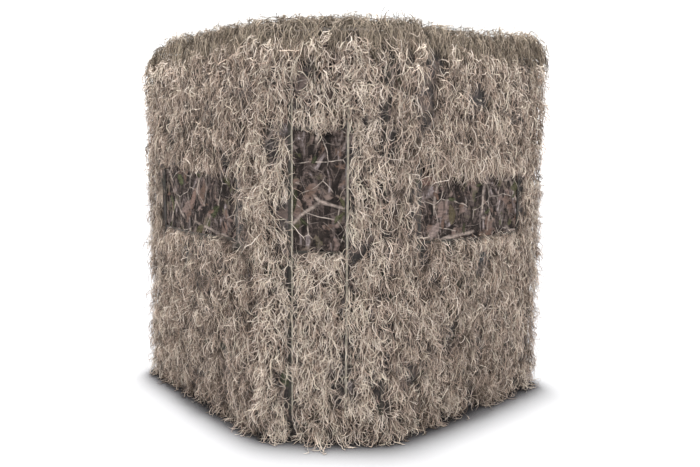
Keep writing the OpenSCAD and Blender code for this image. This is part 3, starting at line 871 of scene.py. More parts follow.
def clear_window(strands, key, rng, mid_u, half_u, low, high, hang=(0.02, 0.02)):
    """Shortens the strands that hang or reach into a window, all but a fringe."""
    u, v, _ = PANELS[key].local(strands.path)
    u = u - mid_u
    n = len(u)
    fringe = rng.exponential(0.014, n).clip(0, 0.07)
    over = (np.abs(u[:, 0]) < half_u) & (v[:, 0] >= high)
    ends = np.clip((u[:, 0] + half_u) / (2 * half_u), 0, 1)
    need = v[:, 0] - (high - fringe - hang[0] - (hang[1] - hang[0]) * ends)
    got = v[:, 0] - v.min(1)
    share = np.where(over & (got > need), need / np.maximum(got, 1e-6), 1.0)
    beside = (np.abs(u[:, 0]) >= half_u) & (v.min(1) < high) & (v.max(1) > low)
    need = np.abs(u[:, 0]) - (half_u - fringe)
    got = np.abs(u[:, 0]) - np.abs(u).min(1)
    share = np.where(beside & (got > need), need / np.maximum(got, 1e-6), share)
    below = (np.abs(u[:, 0]) < half_u) & (v[:, 0] <= low)
    need = (low + fringe * 0.6) - v[:, 0]
    got = v.max(1) - v[:, 0]
    share = np.where(below & (got > need), need / np.maximum(got, 1e-6), share)
    strands.shorten(np.clip(share, 0.12, 1.0))


def clear_line(strands, key, rng, at_u, gap, low=-1.0, high=9.0, spare=0.12):
    """Drops most of the strands that cross an upright line of a panel."""
    u, v, _ = PANELS[key].local(strands.path)
    near = ((np.abs(u - at_u) < gap) & (v > low) & (v < high)).any(1)
    crosses = ((u.min(1) < at_u) & (u.max(1) > at_u)) & (v.mean(1) > low) & (v.mean(1) < high)
    return strands.only(~((near | crosses) & (rng.random(len(u)) > spare)))


# How far the grass hangs over a window at its left and right ends
HANG = {"left_front": (0.0, 0.05), "right_front": (0.095, 0.03)}
# Width left bare beside a window's left and right ends
BARE = {"left_front": (0.006, 0.045), "right_front": (0.045, 0.006)}


def wall_keep(u, v, bare):
    """Where grass is sewn on a wall: everywhere but the window and the hub's cap."""
    across = (u > -WIN_W / 2 - bare[0]) & (u < WIN_W / 2 + bare[1])
    window = across & (v > WIN_LOW - 0.004) & (v < WIN_HIGH + 0.010)
    return ~window & (np.hypot(u, v - HUB_Z) > CAP_R + 0.004)


def hub_body(name):
    return f"{name}_hub_body"


def follow_hub(ob, name, depth=0.0):
    """Bakes a bulged wall's cloth in place; the hub's start and end points are worked out but not used."""
    p = PANELS[name]
    start, end = p.at(0.0, HUB_Z, depth), p.at(0.0, HUB_Z, BULGE + depth)
    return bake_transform(ob, "shell", hub_body(name), start=tuple(start), end=tuple(end))


def dress(ob, mat, node):
    ob.data.materials.clear()
    ob.data.materials.append(mat)
    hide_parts(node)


def build_wall_grass():
    for i, name in enumerate(WALLS):
        panel = PANELS[name]
        rng = np.random.default_rng(40 + i)
        u, v = row_roots(rng, -panel.width / 2 + 0.004, panel.width / 2 - 0.004, 0.03, H - 0.004)
        sill = rng.uniform(-WIN_W / 2, WIN_W / 2, int(WIN_W / 0.022 * DENSITY))
        u = np.concatenate([u, sill])
        v = np.concatenate([v, WIN_LOW - 0.006 + rng.normal(0, 0.003, len(sill))])
        ok = wall_keep(u, v, BARE.get(name, (0.006, 0.006)))
        u, v = u[ok], v[ok]
        hang = HANG.get(name, (0.02, 0.02))
        head = (np.abs(u) < WIN_W / 2) & (v > WIN_HIGH) & (v < WIN_HIGH + 0.09)
        extra = head * np.interp(u, [-WIN_W / 2, WIN_W / 2], hang)
        strands = panel_strands(name, rng, u, v, 100 + 10 * i, 0.7 * (name == "right_front"), extra)
        clear_window(strands, name, rng, 0.0, WIN_W / 2, WIN_LOW, WIN_HIGH, hang)
        if name == "right_front":
            strands = clear_line(strands, name, rng, -panel.width / 2, 0.001, spare=0.9)
        strands.on_floor()
        u, v, _ = panel.local(strands.path[:, 0])
        share = ease(panel.surface(u, v) / BULGE)
        way = panel.way(0.0, 0.0, 1.0)
        at = lambda own: panel.at(0.0, HUB_Z, panel.local(own.path[:, 0])[2].mean() + 0.012)
        label = f"{name}_grass_strands"
        for ob in banded_pieces(label, strands, share, GRASS_BANDS, way, 0.7, hub_body(name), at):
            dress(ob, STRAW, f"{name}_grass")
    edges = (
        (0, "left_front", 0.022, 0.0),
        (2, "right_front", 0.027, 0.045),
        (3, "right_rear", 0.026, 0.04),
        (4, "left_rear", 0.024, 0.0),
    )
    for corner, name, rise, above in edges:
        strands = edge_strands(np.random.default_rng(50 + corner), corner, rise, above)
        strands.on_floor()
        for ob in strand_pieces(f"{name}_grass_edge_strands", strands):
            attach(ob, "shell")
            dress(ob, STRAW, f"{name}_grass")


def build_corner_grass():
    rng = np.random.default_rng(61)
    u, v = row_roots(rng, -DOOR_W / 2, DOOR_W / 2, 0.03, H - 0.004, pitch_u=0.027)
    head, foot = v > DOOR_HIGH - 0.01, v < DOOR_LOW + 0.015
    hinge = (u > DOOR_R + 0.002) & (rng.random(len(u)) < 0.9)
    fixed = (u < DOOR_L - 0.009) | head | foot | hinge
    strands = panel_strands("corner", rng, u[fixed], v[fixed], 71, foot=1.9)
    strands = clear_line(strands, "corner", rng, DOOR_L, 0.004, SEEN_LOW, SEEN_HIGH, 0.4)
    strands.on_floor()
    for ob in strand_pieces("corner_grass_strands", strands):
        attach(ob, "shell")
        dress(ob, STRAW, "corner_grass")
    taped = (np.abs(u - STRIP_X) < 0.008) | (u < DOOR_L + 0.011)
    window = (np.abs(u - DWIN_X) < DWIN_W / 2 + 0.004) & (v > DWIN_LOW - 0.004) & (v < DWIN_HIGH + 0.010)
    sill = rng.uniform(DWIN_X - DWIN_W / 2, DWIN_X + DWIN_W / 2, int(DWIN_W / 0.022 * DENSITY))
    on = ~fixed & (u < DOOR_R - 0.006) & ~taped & ~window
    u, v = np.concatenate([u[on], sill]), np.concatenate([v[on], 0 * sill + DWIN_LOW - 0.006])
    strands = panel_strands("corner", rng, u, v, 72, foot=1.9)
    clear_window(strands, "corner", rng, DWIN_X, DWIN_W / 2 - 0.004, DWIN_LOW, DWIN_HIGH, (0.0, 0.0))
    strands = clear_line(strands, "corner", rng, DOOR_L, 0.006, spare=0.0)
    strands = clear_line(strands, "corner", rng, STRIP_X, 0.005, SEEN_LOW - 0.2, SEEN_HIGH, 0.25)
    strands = clear_line(strands, "corner", rng, DOOR_R + 0.006, 0.002, spare=0.8)
    strands.on_floor()
    for ob in strand_pieces("door_grass_strands", strands):
        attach(ob, "door")
        dress(ob, STRAW, "door_grass")


def outside(p):
    """Signed distance past the roof's outline, and the way out, for points in plan."""
    best = np.full(p.shape[:-1], -np.inf)
    way = np.zeros(p.shape)
    for i in range(5):
        a, b = CORNERS[i], CORNERS[(i + 1) % 5]
        d = (b - a) / np.linalg.norm(b - a)
        n = np.array([d[1], -d[0]])
        dist = (p - a) @ n
        more = dist > best
        best = np.where(more, dist, best)
        way[more] = n
    return best, way


def roof_height(p):
    """Height of the roof fabric's outer face over plan points."""
    share = np.full(p.shape[:-1], -np.inf)
    for i in range(5):
        a, b = CORNERS[i], CORNERS[(i + 1) % 5]
        d = (b - a) / np.linalg.norm(b - a)
        n = np.array([d[1], -d[0]])
        share = np.maximum(share, (p @ n) / (a @ n))
    return ROOF_Z + FABRIC_T + RISE * (1 - np.clip(share, 0, 1.02))


def eave_tufts(rng, pitch=0.011):
    """Roots and ways of the tufts that hang over the eaves."""
    roots, out, down, side = [], [], [], []
    for i in range(5):
        a, b = CORNERS[i], CORNERS[(i + 1) % 5]
        length = np.linalg.norm(b - a)
        d = (b - a) / length
        n = int(length / pitch * DENSITY)
        along = (np.arange(n) + rng.uniform(0, 1, n)) / n
        at = a + (b - a) * along[:, None]
        way = np.array([d[1], -d[0], 0.0])
        one = np.ones((n, 1))
        roots.append(np.concatenate([at, ROOF_Z + FABRIC_T + rng.uniform(-0.012, 0.004, (n, 1))], 1))
        out.append((way * 0.6 + np.array([0, 0, 0.8])) * one)
        down.append((way * 0.5 - np.array([0, 0, 0.866])) * one)
        side.append(np.array([d[0], d[1], 0.0]) * one)
    return tuple(np.concatenate(x) for x in (roots, out, down, side))


def build_roof_grass():
    rng = np.random.default_rng(80)
    pitch = 0.037 / math.sqrt(DENSITY)
    n = int(2 * HALF / pitch)
    gx, gy = np.meshgrid((np.arange(n) + 0.5) * pitch - HALF, (np.arange(n) + 0.5) * pitch - HALF)
    p = np.stack([gx, gy], -1).reshape(-1, 2) + rng.uniform(-0.5, 0.5, (n * n, 2)) * pitch
    heap = CORNERS[2] * (1 - 0.42 * rng.uniform(0, 1, (int(190 * DENSITY), 2)) ** 1.5)
    p = np.concatenate([p, heap])
    dist, way = outside(p)
    ok = (dist < -0.004) & (np.hypot(p[:, 0], p[:, 1]) > CAP_R + 0.004)
    p, way = p[ok], way[ok]
    radial = p / (np.linalg.norm(p, axis=1, keepdims=True) + 1e-9)
    heading = way * 0.55 + radial * 0.45
    a = rng.normal(0, 0.55, len(p))
    turned = [
        heading[:, 0] * np.cos(a) - heading[:, 1] * np.sin(a),
        heading[:, 0] * np.sin(a) + heading[:, 1] * np.cos(a),
    ]
    heading = np.stack(turned, 1)
    heading /= np.linalg.norm(heading, axis=1, keepdims=True)
    z = roof_height(p)
    z2 = roof_height(p + heading * 0.02)
    slope = (z2 - z) / 0.02
    down = np.concatenate([heading, slope[:, None]], 1)
    down /= np.linalg.norm(down, axis=1, keepdims=True)
    side = np.stack([-heading[:, 1], heading[:, 0], 0 * z], 1)
    out = np.cross(down, side)
    out *= np.sign(out[:, 2:])
    roots = np.concatenate([p, z[:, None]], 1)
    eave = eave_tufts(rng)
    p, roots = np.concatenate([p, eave[0][:, :2]]), np.concatenate([roots, eave[0]])
    out, down, side = (np.concatenate([x, y]) for x, y in zip((out, down, side), eave[1:]))
    # The roof's tufts start at a lower tone row than the walls': more painted shade against the overhead sun.
    tone = 6.1 + patch_tone(p[:, 0], p[:, 1], 90) + rng.normal(0, 2.4, len(p))
    edge = np.exp(-np.clip(-outside(p)[0], 0, None) / 0.14)
    full = np.exp(-(((p - CORNERS[2]) ** 2).sum(1)) / 0.09)
    far = np.clip((np.hypot(p[:, 0] + 0.56, p[:, 1] + 0.56) - 0.3) / 0.8, 0, 1)
    worn = np.exp(-(((p - CORNERS[4]) ** 2).sum(1)) / 0.022)
    crown = np.exp(-(p**2).sum(1) / 0.008)
    thick = 0.008 + (0.022 + 0.068 * far) * edge * (1 - worn) + 0.002 * full
    low = len(p) - len(eave[0])
    power = np.where(np.arange(len(p)) < low, 0.7, 1.2)
    raised = thick * rng.uniform(0, 1, len(p)) ** power
    roots[:, 2] += raised
    roots[:, :2] -= outside(p)[1] * (0.4 * raised)[:, None]
    proud = 0.020 + (0.014 + 0.004 * far) * edge * (1 - worn) + 0.004 * full + 0.016 * crown
    # The eave tufts hang down the walls, out of the overhead sun, and are painted lighter to undo the roof
    # grass's painted shade; the grass also gets lighter towards the roof's edge and over the front corner's
    # heap.
    tone[low:] += 4.4
    tone += 1.5 * edge + 2.4 * full
    strands = tufts(rng, roots, out, down, side, tone, rng.normal(0, 0.45, len(p)), 14.0, 0.108, proud)
    over, away = outside(strands.path[..., :2])
    past = np.clip(over, 0, None)
    strands.path[..., :2] -= away * (np.clip(past - 0.024, 0, None) * 0.80)[..., None]
    strands.path[..., 2] -= past * 0.85
    share = ease((roof_height(strands.path[:, 0, :2]) - ROOF_Z - FABRIC_T) / (RISE * SLACK))
    at = lambda own: np.array([0, 0, own.path[:, 0, 2].mean() + 0.01])
    bands = banded_pieces(
        "roof_grass_strands", strands, share, GRASS_BANDS, (0, 0, 1.0), 2.5, "roof_hub_body", at
    )
    for ob in bands:
        dress(ob, PAINTED_SHADE_THATCH, "roof_grass")


# ---------------------------------------------------------------- fabric


def everywhere(u, v):
    """No opening in the cloth: every point of it is kept."""
    return u > -9


def build_fabric():
    for i, (name, (_, _, width)) in enumerate(WALLS.items()):
        panel = PANELS[name]
        us = marks(-width / 2 + 0.0008, width / 2 - 0.0008, 0.025, -WIN_W / 2, 0.0, WIN_W / 2)
        vs = marks(0.0005, H - 0.0005, 0.025, WIN_LOW, HUB_Z, WIN_HIGH)
        keep = lambda u, v: ~((np.abs(u) < WIN_W / 2) & (v > WIN_LOW) & (v < WIN_HIGH))
        fade = lambda u, v, p=panel: np.clip(p.surface(u, v) / 0.01, 0, 1)
        shape = lambda u, v, p=panel, s=i: p.surface(u, v) + ripple(u, v, 0.0007, 300 + s) * fade(u, v)
        for layer, mat, depth in (("cloth", CAMO, -PRINT_IN), ("backing", BACKING, -PRINT_IN - LAYER_GAP)):
            label = f"{name}_wall_{layer}"
            ob = cloth(label, panel, us, vs, depth, keep, LAYER_T, [mat, mat], shape, (1.7 * i, 0.4 * i))
            follow_hub(ob, name, depth)
            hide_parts(f"{name}_wall")

        nu = marks(-WIN_W / 2 - NET_LAP, WIN_W / 2 + NET_LAP, 0.025, 0.0)
        nv = marks(WIN_LOW - NET_LAP, WIN_HIGH + NET_LAP, 0.02)
        shape = lambda u, v, p=panel, s=i: p.surface(u, v) - 0.0032 + ripple(u, v, 0.0006, 320 + s)
        ob = cloth(
            f"{name}_window_net", panel, nu, nv, -0.0008, everywhere, 0.0005, [NET, NET],
            shape, shift=(2.3 * i + 1.25, 0.9 * i + 0.37)
        )
        follow_hub(ob, name, -0.0040)
        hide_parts(f"{name}_net")

        cu = marks(-WIN_W / 2 - COVER_LAP, WIN_W / 2 + COVER_LAP, 0.02)
        cv = marks(WIN_LOW - COVER_LAP, WIN_HIGH + COVER_LAP, 0.02)
        shape = lambda u, v, s=i: 0 * u + ripple(u, v * 0.5, 0.0016, 340 + s) - 0.0005
        ob = cloth(
            f"{name}_cover_cloth", panel, cu, cv, 0.0, everywhere, 0.0012,
            shape=shape, shift=(0.8 * i, 1.3 * i)
        )
        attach(ob, f"{name}_cover_body")
        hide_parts(f"{name}_cover")


def build_corner():
    panel = PANELS["corner"]
    us = marks(-DOOR_W / 2 + 0.0008, DOOR_W / 2 - 0.0008, 0.03, DOOR_L, DOOR_R)
    vs = marks(0.0005, H - 0.0005, 0.03, DOOR_LOW, DOOR_HIGH)
    keep = lambda u, v: ~((u > DOOR_L) & (u < DOOR_R) & (v > DOOR_LOW) & (v < DOOR_HIGH))
    ob = cloth("corner_panel_cloth", panel, us, vs, -0.0016, keep, shift=(5.1, 0.2))
    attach(ob, "shell")
    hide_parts("corner_panel")

    us = marks(DOOR_L + 0.0015, DOOR_R - 0.0015, 0.02, DWIN_X - DWIN_W / 2, DWIN_X + DWIN_W / 2)
    vs = marks(DOOR_LOW + 0.0015, DOOR_HIGH - 0.0015, 0.02, DWIN_LOW, DWIN_HIGH)
    window = lambda u, v: (np.abs(u - DWIN_X) < DWIN_W / 2) & (v > DWIN_LOW) & (v < DWIN_HIGH)
    shape = lambda u, v: 0.0009 * np.sin((u - DOOR_L) * 14) * np.sin(v * 7) - 0.0004
    ob = cloth(
        "door_leaf_cloth", panel, us, vs, -0.0014, lambda u, v: ~window(u, v),
        shape=shape, shift=(5.1, 0.2)
    )
    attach(ob, "door")
    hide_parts("door_leaf")

    us = marks(dnet_low[X], dnet_high[X], 0.02)
    vs = marks(dnet_low[Z], dnet_high[Z], 0.02)
    shape = lambda u, v: ripple(u, v, 0.0004, 350)
    ob = cloth(
        "door_window_net", panel, us, vs, -0.0039, everywhere, 0.0005, [NET, NET],
        shape, shift=(3.33, 0.15)
    )
    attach(ob, "door")
    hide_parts("door_net")

    us = marks(DWIN_X - DWIN_W / 2 - DCOVER_LAP, DWIN_X + DWIN_W / 2 + DCOVER_LAP, 0.02)
    vs = marks(DWIN_LOW - DCOVER_LAP, DWIN_HIGH + DCOVER_LAP, 0.02)
    shape = lambda u, v: ripple(u, v, 0.0008, 351)
    ob = cloth(
        "door_cover_cloth", panel, us, vs, -0.0095, everywhere, 0.0012,
        shape=shape, shift=(4.4, 2.2)
    )
    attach(ob, "door_cover_body")
    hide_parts("door_cover")


def roof_sheet(name, mat, lift):
    """Five stretched triangles in one closed sheet, as rings round the hub. lift is its middle's height."""
    rings = 26
    per = 16
    verts, uvs = [], []
    for up in (lift + LAYER_T / 2, lift - LAYER_T / 2):
        for j in range(1, rings + 1):
            for i in range(5):
                for s in range(per):
                    edge = CORNERS[i] + (CORNERS[(i + 1) % 5] - CORNERS[i]) * s / per
                    p = edge * j / rings * 0.9995
                    verts.append((p[0], p[1], ROOF_Z + up + RISE * (1 - j / rings)))
                    uvs.append((p[0] + 7.3, p[1] + 3.1))
        verts.append((0, 0, ROOF_Z + up + RISE))
        uvs.append((7.3, 3.1))
    m = 5 * per
    n = rings * m + 1
    faces = []
    for i in range(m):
        k = (i + 1) % m
        faces += [(n - 1, i, k), (2 * n - 1, n + k, n + i)]
        for j in range(rings - 1):
            a, b, c, d = j * m + i, (j + 1) * m + i, (j + 1) * m + k, j * m + k
            faces += [(a, b, c, d), (a + n, d + n, c + n, b + n)]
        a, b = (rings - 1) * m + i, (rings - 1) * m + k
        faces.append((a, a + n, b + n, b))
    return link(name, poly_mesh(name, verts, faces, uvs), [mat])


def build_roof_fabric():
    roof_layers = (
        ("roof_cloth", CAMO, ROOF_PRINT),
        ("roof_backing", BACKING, ROOF_PRINT - LAYER_GAP),
    )
    for name, mat, lift in roof_layers:
        ob = roof_sheet(name, mat, lift)
        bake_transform(ob)
        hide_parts("roof_fabric")


# ---------------------------------------------------------------- frame and fittings


def rod_piece(name, body, pin, tip, hinge):
    """A rod with its eye, ferrule and tip cap, from its pin to its tip."""
    axis = tip - pin
    length = np.linalg.norm(axis)
    axis = axis / length
    at = lambda x: pin + axis * x
    parts = []
    chamfer = 0.0012
    rod_ferrule_tip = (
        (0.050, length - 0.012, 0.0045, 0),
        (0.015, 0.051, 0.006, 1),
        (length - 0.0125, length, 0.0055, 2),
    )
    for a, b, r, s in rod_ferrule_tip:
        path = [at(a), at(a + chamfer), at((a + b) / 2), at(b - chamfer), at(b)]
        radii = np.array([r * 0.8, r, r, r, r * 0.8])
        v, f, c = tube(path, radii, 14)
        parts.append((v, f, c, s))
    across = np.cross(hinge, axis)
    ring, faces = [], []
    steps = 20
    for k in range(steps):
        a = 2 * math.pi * k / steps
        way = axis * math.cos(a) + across * math.sin(a)
        for r, h in ((0.0060, 0.0026), (0.0060, -0.0026), (0.00258, -0.0030), (0.00258, 0.0030)):
            ring.append(pin + way * r + hinge * h)
    for k in range(steps):
        for j in range(4):
            a, b = 4 * k + j, 4 * k + (j + 1) % 4
            c, d = 4 * ((k + 1) % steps) + (j + 1) % 4, 4 * ((k + 1) % steps) + j
            faces.append((a, d, c, b))
    parts.append((np.array(ring), faces, np.zeros((len(ring), 2)), 1))
    neck = []
    for x, h, g in ((0.0052, 0.0026, 0.0035), (0.0155, 0.0028, 0.0045)):
        for sh, sg in ((1, 1), (-1, 1), (-1, -1), (1, -1)):
            neck.append(at(x) + hinge * h * sh + across * g * sg)
    sides = [(0, 1, 5, 4), (1, 2, 6, 5), (2, 3, 7, 6), (3, 0, 4, 7), (3, 2, 1, 0), (4, 5, 6, 7)]
    parts.append((np.array(neck), sides, np.zeros((8, 2)), 1))
    verts, faces, uvs, slots = merge(parts)
    mesh = poly_mesh(name + "_assembly", verts, faces, uvs, slots)
    mesh.validate()
    ob = link(name + "_assembly", mesh, [FIBRE, STEEL, PLASTIC])
    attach(ob, body)
    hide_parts(name)


def build_rods():
    pins = {j["child"]: np.array(j["pos_m"]) for j in frame["joints"] if "pos_m" in j}
    for name, (_, _, width) in WALLS.items():
        panel = PANELS[name]
        for k in range(4):
            tu = (-1 if k in (0, 3) else 1) * (width / 2 - 0.080)
            tv = H - 0.080 if k < 2 else 0.055
            arm = math.atan2(tv - HUB_Z, tu)
            pin = pins[f"{name}_rod_{k + 1}_body"]
            tip = panel.at(tu, tv, -0.022)
            hinge = panel.way(math.sin(arm), -math.cos(arm), 0.0)
            rod_piece(f"{name}_rod_{k + 1}", f"{name}_rod_{k + 1}_body", pin, tip, hinge)
    for k, c in enumerate(CORNERS):
        far = np.linalg.norm(c)
        way = c / far
        pin = pins[f"roof_rod_{k + 1}_body"]
        tip = np.array([*(c * (1 - 0.068 / far)), H - 0.020])
        hinge = np.array([way[1], -way[0], 0.0])
        rod_piece(f"roof_rod_{k + 1}", f"roof_rod_{k + 1}_body", pin, tip, hinge)


def lathe(profile, sides=48):
    """A turned form from (radius, height) pairs, closed on the axis at both ends."""
    verts, faces = [], []
    angle = np.arange(sides) / sides * 2 * math.pi
    for r, z in profile[1:-1]:
        verts += [(r * math.cos(a), r * math.sin(a), z) for a in angle]
    rows = len(profile) - 2
    first, last = len(verts), len(verts) + 1
    verts += [(0, 0, profile[0][1]), (0, 0, profile[-1][1])]
    for i in range(sides):
        k = (i + 1) % sides
        faces.append((first, k, i))
        faces.append((last, (rows - 1) * sides + i, (rows - 1) * sides + k))
        for j in range(rows - 1):
            faces.append((j * sides + i, j * sides + k, (j + 1) * sides + k, (j + 1) * sides + i))
    verts = np.array(verts, float)
    return verts, faces, verts[:, :2].copy()


def ring_faces(rings, sides):
    """Four-sided faces between rings of points that follow one another."""
    faces = []
    for j in range(rings - 1):
        for i in range(sides):
            k = (i + 1) % sides
            faces.append((j * sides + i, (j + 1) * sides + i, (j + 1) * sides + k, j * sides + k))
    return faces


def turned_back(faces):
    """The same four-sided faces from the same first point, the other way round."""
    return [(a, d, c, b) for a, b, c, d in faces]


def merged(name, parts, mats):
    """One object from several parts."""
    verts, faces, uvs, slots = merge(parts)
    return link(name, poly_mesh(name, verts, faces, uvs, slots), mats)


# Corners of a strap's section, as shares of its width and its thickness.
STRAP_SECTION = [
    (-0.5, 0.3),
    (-0.42, 0.5),
    (0.42, 0.5),
    (0.5, 0.3),
    (0.5, -0.3),
    (0.42, -0.5),
    (-0.42, -0.5),
    (-0.5, -0.3),
]


def ribbon(points, across, width, thick):
    """A flat strap along a path, with its width along the way across."""
    points = np.asarray(points, float)
    t = np.gradient(points, axis=0)
    t /= np.linalg.norm(t, axis=1)[:, None]
    across = np.asarray(across, float)
    n = np.cross(t, across)
    n /= np.linalg.norm(n, axis=1)[:, None]
    k = len(points)
    run = np.concatenate([[0], np.cumsum(np.linalg.norm(np.diff(points, axis=0), axis=1))])
    verts, uvs = [], []
    for j in range(k):
        for a, b in STRAP_SECTION:
            verts.append(points[j] + across * a * width + n[j] * b * thick)
            uvs.append((a * width, run[j]))
    m = len(STRAP_SECTION)
    faces = ring_faces(k, m)
    faces.append(tuple(range(m)))
    faces.append(tuple(reversed(range((k - 1) * m, k * m))))
    return np.array(verts), faces, np.array(uvs)


def build_caps():
    """Outside caps: a turned disc with four screws, and a webbing pull loop."""
    wall_drop = 0.050 * BULGE / (FRONT_W / 2) + 0.0005
    roof_drop = 0.050 * RISE / HALF + 0.0005
    for name in [*WALLS, "roof"]:
        drop = roof_drop if name == "roof" else wall_drop
        top = FABRIC_T + 0.007
        disc_profile = [
            (0, -drop + 0.0002),
            (0.0405, -drop + 0.0002),
            (0.042, -drop + 0.002),
            (0.042, top - 0.0035),
            (0.0405, top - 0.0012),
            (0.0375, top),
            (0.030, top),
            (0.028, top - 0.0012),
            (0.014, top - 0.0012),
            (0.012, top),
            (0, top),
        ]
        screw_profile = [
            (0, top - 0.0014),
            (0.0030, top - 0.0014),
            (0.0032, top + 0.0006),
            (0.0022, top + 0.0013),
            (0, top + 0.0006),
        ]
        disc = lathe(disc_profile)
        parts = [(*disc, 0)]
        for k in range(4):
            a = math.pi / 4 + k * math.pi / 2
            v, f, c = lathe(screw_profile, 14)
            v = v + np.array([0.0335 * math.cos(a), 0.0335 * math.sin(a), 0])
            parts.append((v, f, c, 1))
        t = np.linspace(0, math.pi, 17)
        arch = np.stack([0.0265 * np.cos(t), 0.004 * np.sin(t), top - 0.001 + 0.022 * np.sin(t) ** 0.75], 1)
        parts.append((*ribbon(arch, (0, 1, 0), 0.022, 0.0018), 2))
        for s in (-1, 1):
            foot = np.stack([s * np.linspace(0.0275, 0.013, 5), np.zeros(5), np.full(5, top + 0.0012)], 1)
            parts.append((*ribbon(foot, (0, 1, 0), 0.022, 0.0018), 2))
        verts, faces, uvs, slots = merge(parts)
        if name == "roof":
            world = verts + np.array([0, 0, ROOF_Z + RISE])
        else:
            p = PANELS[name]
            world = p.at(verts[:, 0], verts[:, 1] + HUB_Z, verts[:, 2] + BULGE - FABRIC_T)
        mesh = poly_mesh(f"{name}_cap_and_loop", world, faces, uvs, slots)
        ob = link(f"{name}_cap_and_loop", mesh, [PLASTIC, STEEL, BLACK_WEB])
        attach(ob, hub_body(name))
        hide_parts(f"{name}_cap")


def build_stake_loops():
    """Webbing loops that lie on the ground outside the corners."""
    parts = []
    for c in CORNERS:
        far = np.linalg.norm(c)
        way = np.array([*(c / far), 0])
        side = np.array([-way[1], way[0], 0])
        base = np.array([*c, 0.0022]) + way * 0.0065
        turnings = np.linspace(-math.pi / 2, math.pi / 2, 17)
        left = [base + side * -0.0115 + way * x for x in np.linspace(0.002, 0.033, 6)]
        bow = [base + way * (0.0335 + 0.0105 * math.cos(a)) + side * 0.0115 * math.sin(a) for a in turnings]
        right = [base + side * 0.0115 + way * x for x in np.linspace(0.033, 0.002, 6)]
        path = np.array(left + bow[1:-1] + right)
        tang = np.gradient(path, axis=0)
        tang /= np.linalg.norm(tang, axis=1)[:, None]
        n = np.cross(tang, (0, 0, 1))
        verts, uvs = [], []
        run = np.concatenate([[0], np.cumsum(np.linalg.norm(np.diff(path, axis=0), axis=1))])
        for j in range(len(path)):
            for a, b in ((-0.5, -0.35), (-0.35, 0.5), (0.35, 0.5), (0.5, -0.35)):
                verts.append(path[j] + n[j] * a * 0.0066 + np.array([0, 0, b * 0.0022]))
                uvs.append((a * 0.0066, run[j]))
        k = len(path)
        faces = turned_back(ring_faces(k, 4))
        faces += [(3, 2, 1, 0), (4 * k - 4, 4 * k - 3, 4 * k - 2, 4 * k - 1)]
        parts.append((np.array(verts), faces, np.array(uvs), 0))
    ob = merged("stake_loop_webbing", parts, [BLACK_WEB])
    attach(ob, "shell")
    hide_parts("stake_loops")


def tape_parts(panel, x, low, high, width, bead_at, lift=0.0006):
    """A woven tape up a panel with a piped bead on one or both edges."""
    zs = np.linspace(low, high, 60)
    wave = 0.0004 * np.sin(zs * 31) + 0.0003 * np.sin(zs * 77 + 1)
    spine = panel.at(x + wave, zs, lift + 0 * zs)
    across = panel.way(1.0, 0.0, 0.0)
    parts = [(*ribbon(spine, across, width, 0.0010), 0)]
    for side in bead_at:
        edge = panel.at(x + side * width * 0.36 + wave, zs, lift + 0.0010 + 0 * zs)
        parts.append((*tube(edge, 0.0015, 8), 0))
    return parts


# Corners of a zip tooth: across the tape, along it, and out from it.
TOOTH = [
    (0, -0.0008, 0.0012),
    (0.0026, -0.0008, 0.0012),
    (0.0026, 0.0008, 0.0012),
    (0, 0.0008, 0.0012),
    (0.0003, -0.0006, 0.0024),
    (0.0022, -0.0006, 0.0024),
    (0.0022, 0.0006, 0.0024),
    (0.0003, 0.0006, 0.0024),
]
TOOTH_FACES = [(0, 3, 2, 1), (4, 5, 6, 7), (0, 1, 5, 4), (1, 2, 6, 5), (2, 3, 7, 6), (3, 0, 4, 7)]


def build_zip():
    panel = PANELS["corner"]
    low, high = DOOR_LOW + 0.03, DOOR_HIGH - 0.03
    parts = tape_parts(panel, DOOR_L - TAPE_W / 2 - 0.0002, low, high, TAPE_W, (-1,))
    ob = merged("frame_zip_tape_woven", parts, [CORD])
    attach(ob, "shell")
    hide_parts("frame_zip_tape")
    parts = tape_parts(panel, DOOR_L + 0.0015 + TAPE_W / 2, low, high, TAPE_W, (1,))
    parts += tape_parts(panel, STRIP_X, low, high, TAPE_W, (-1, 1))
    for z in np.arange(low + 0.002, high - 0.002, 0.003):
        block = [panel.at(DOOR_L + 0.0016 + dx, z + dz, dw) for dx, dz, dw in TOOTH]
        parts.append((np.array(block), TOOTH_FACES, np.tile([[0.0, z]], (8, 1)), 1))
    ob = merged("door_zip_and_seam_tape", parts, [TAPE, CORD])
    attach(ob, "door")
    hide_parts("door_zip_tape")

    top = DOOR_HIGH - 0.060
    right = DOOR_L - 0.0008
    mid = right - 0.0045
    base = 0.0028
    outline = [
        (-0.0045, 0.0),
        (0.0045, 0.0),
        (0.0045, -0.012),
        (0.0030, -0.026),
        (-0.0030, -0.026),
        (-0.0045, -0.012),
    ]
    verts, n = [], len(outline)
    for w, shrink in ((base, 0.85), (base + 0.001, 1.0), (base + 0.0045, 1.0), (base + 0.0058, 0.8)):
        for x, y in outline:
            verts.append(panel.at(mid + x * shrink, top - 0.013 + (y + 0.013) * shrink, w))
    faces = [tuple(reversed(range(n))), tuple(range(3 * n, 4 * n))]
    faces += turned_back(ring_faces(4, n))
    parts = [(np.array(verts), flip(faces), np.zeros((len(verts), 2)), 0)]
    zs = np.linspace(top - 0.018, top - 0.058, 9)
    pull = panel.at(mid + 0 * zs, zs, base + 0.0068 + 0 * zs)
    parts.append((*ribbon(pull, panel.way(1.0, 0.0, 0.0), 0.0065, 0.0014), 0))
    ob = merged("zip_slider_body_and_pull", parts, [ENAMEL])
    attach(ob, "zip_slider_body")
    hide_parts("zip_slider")


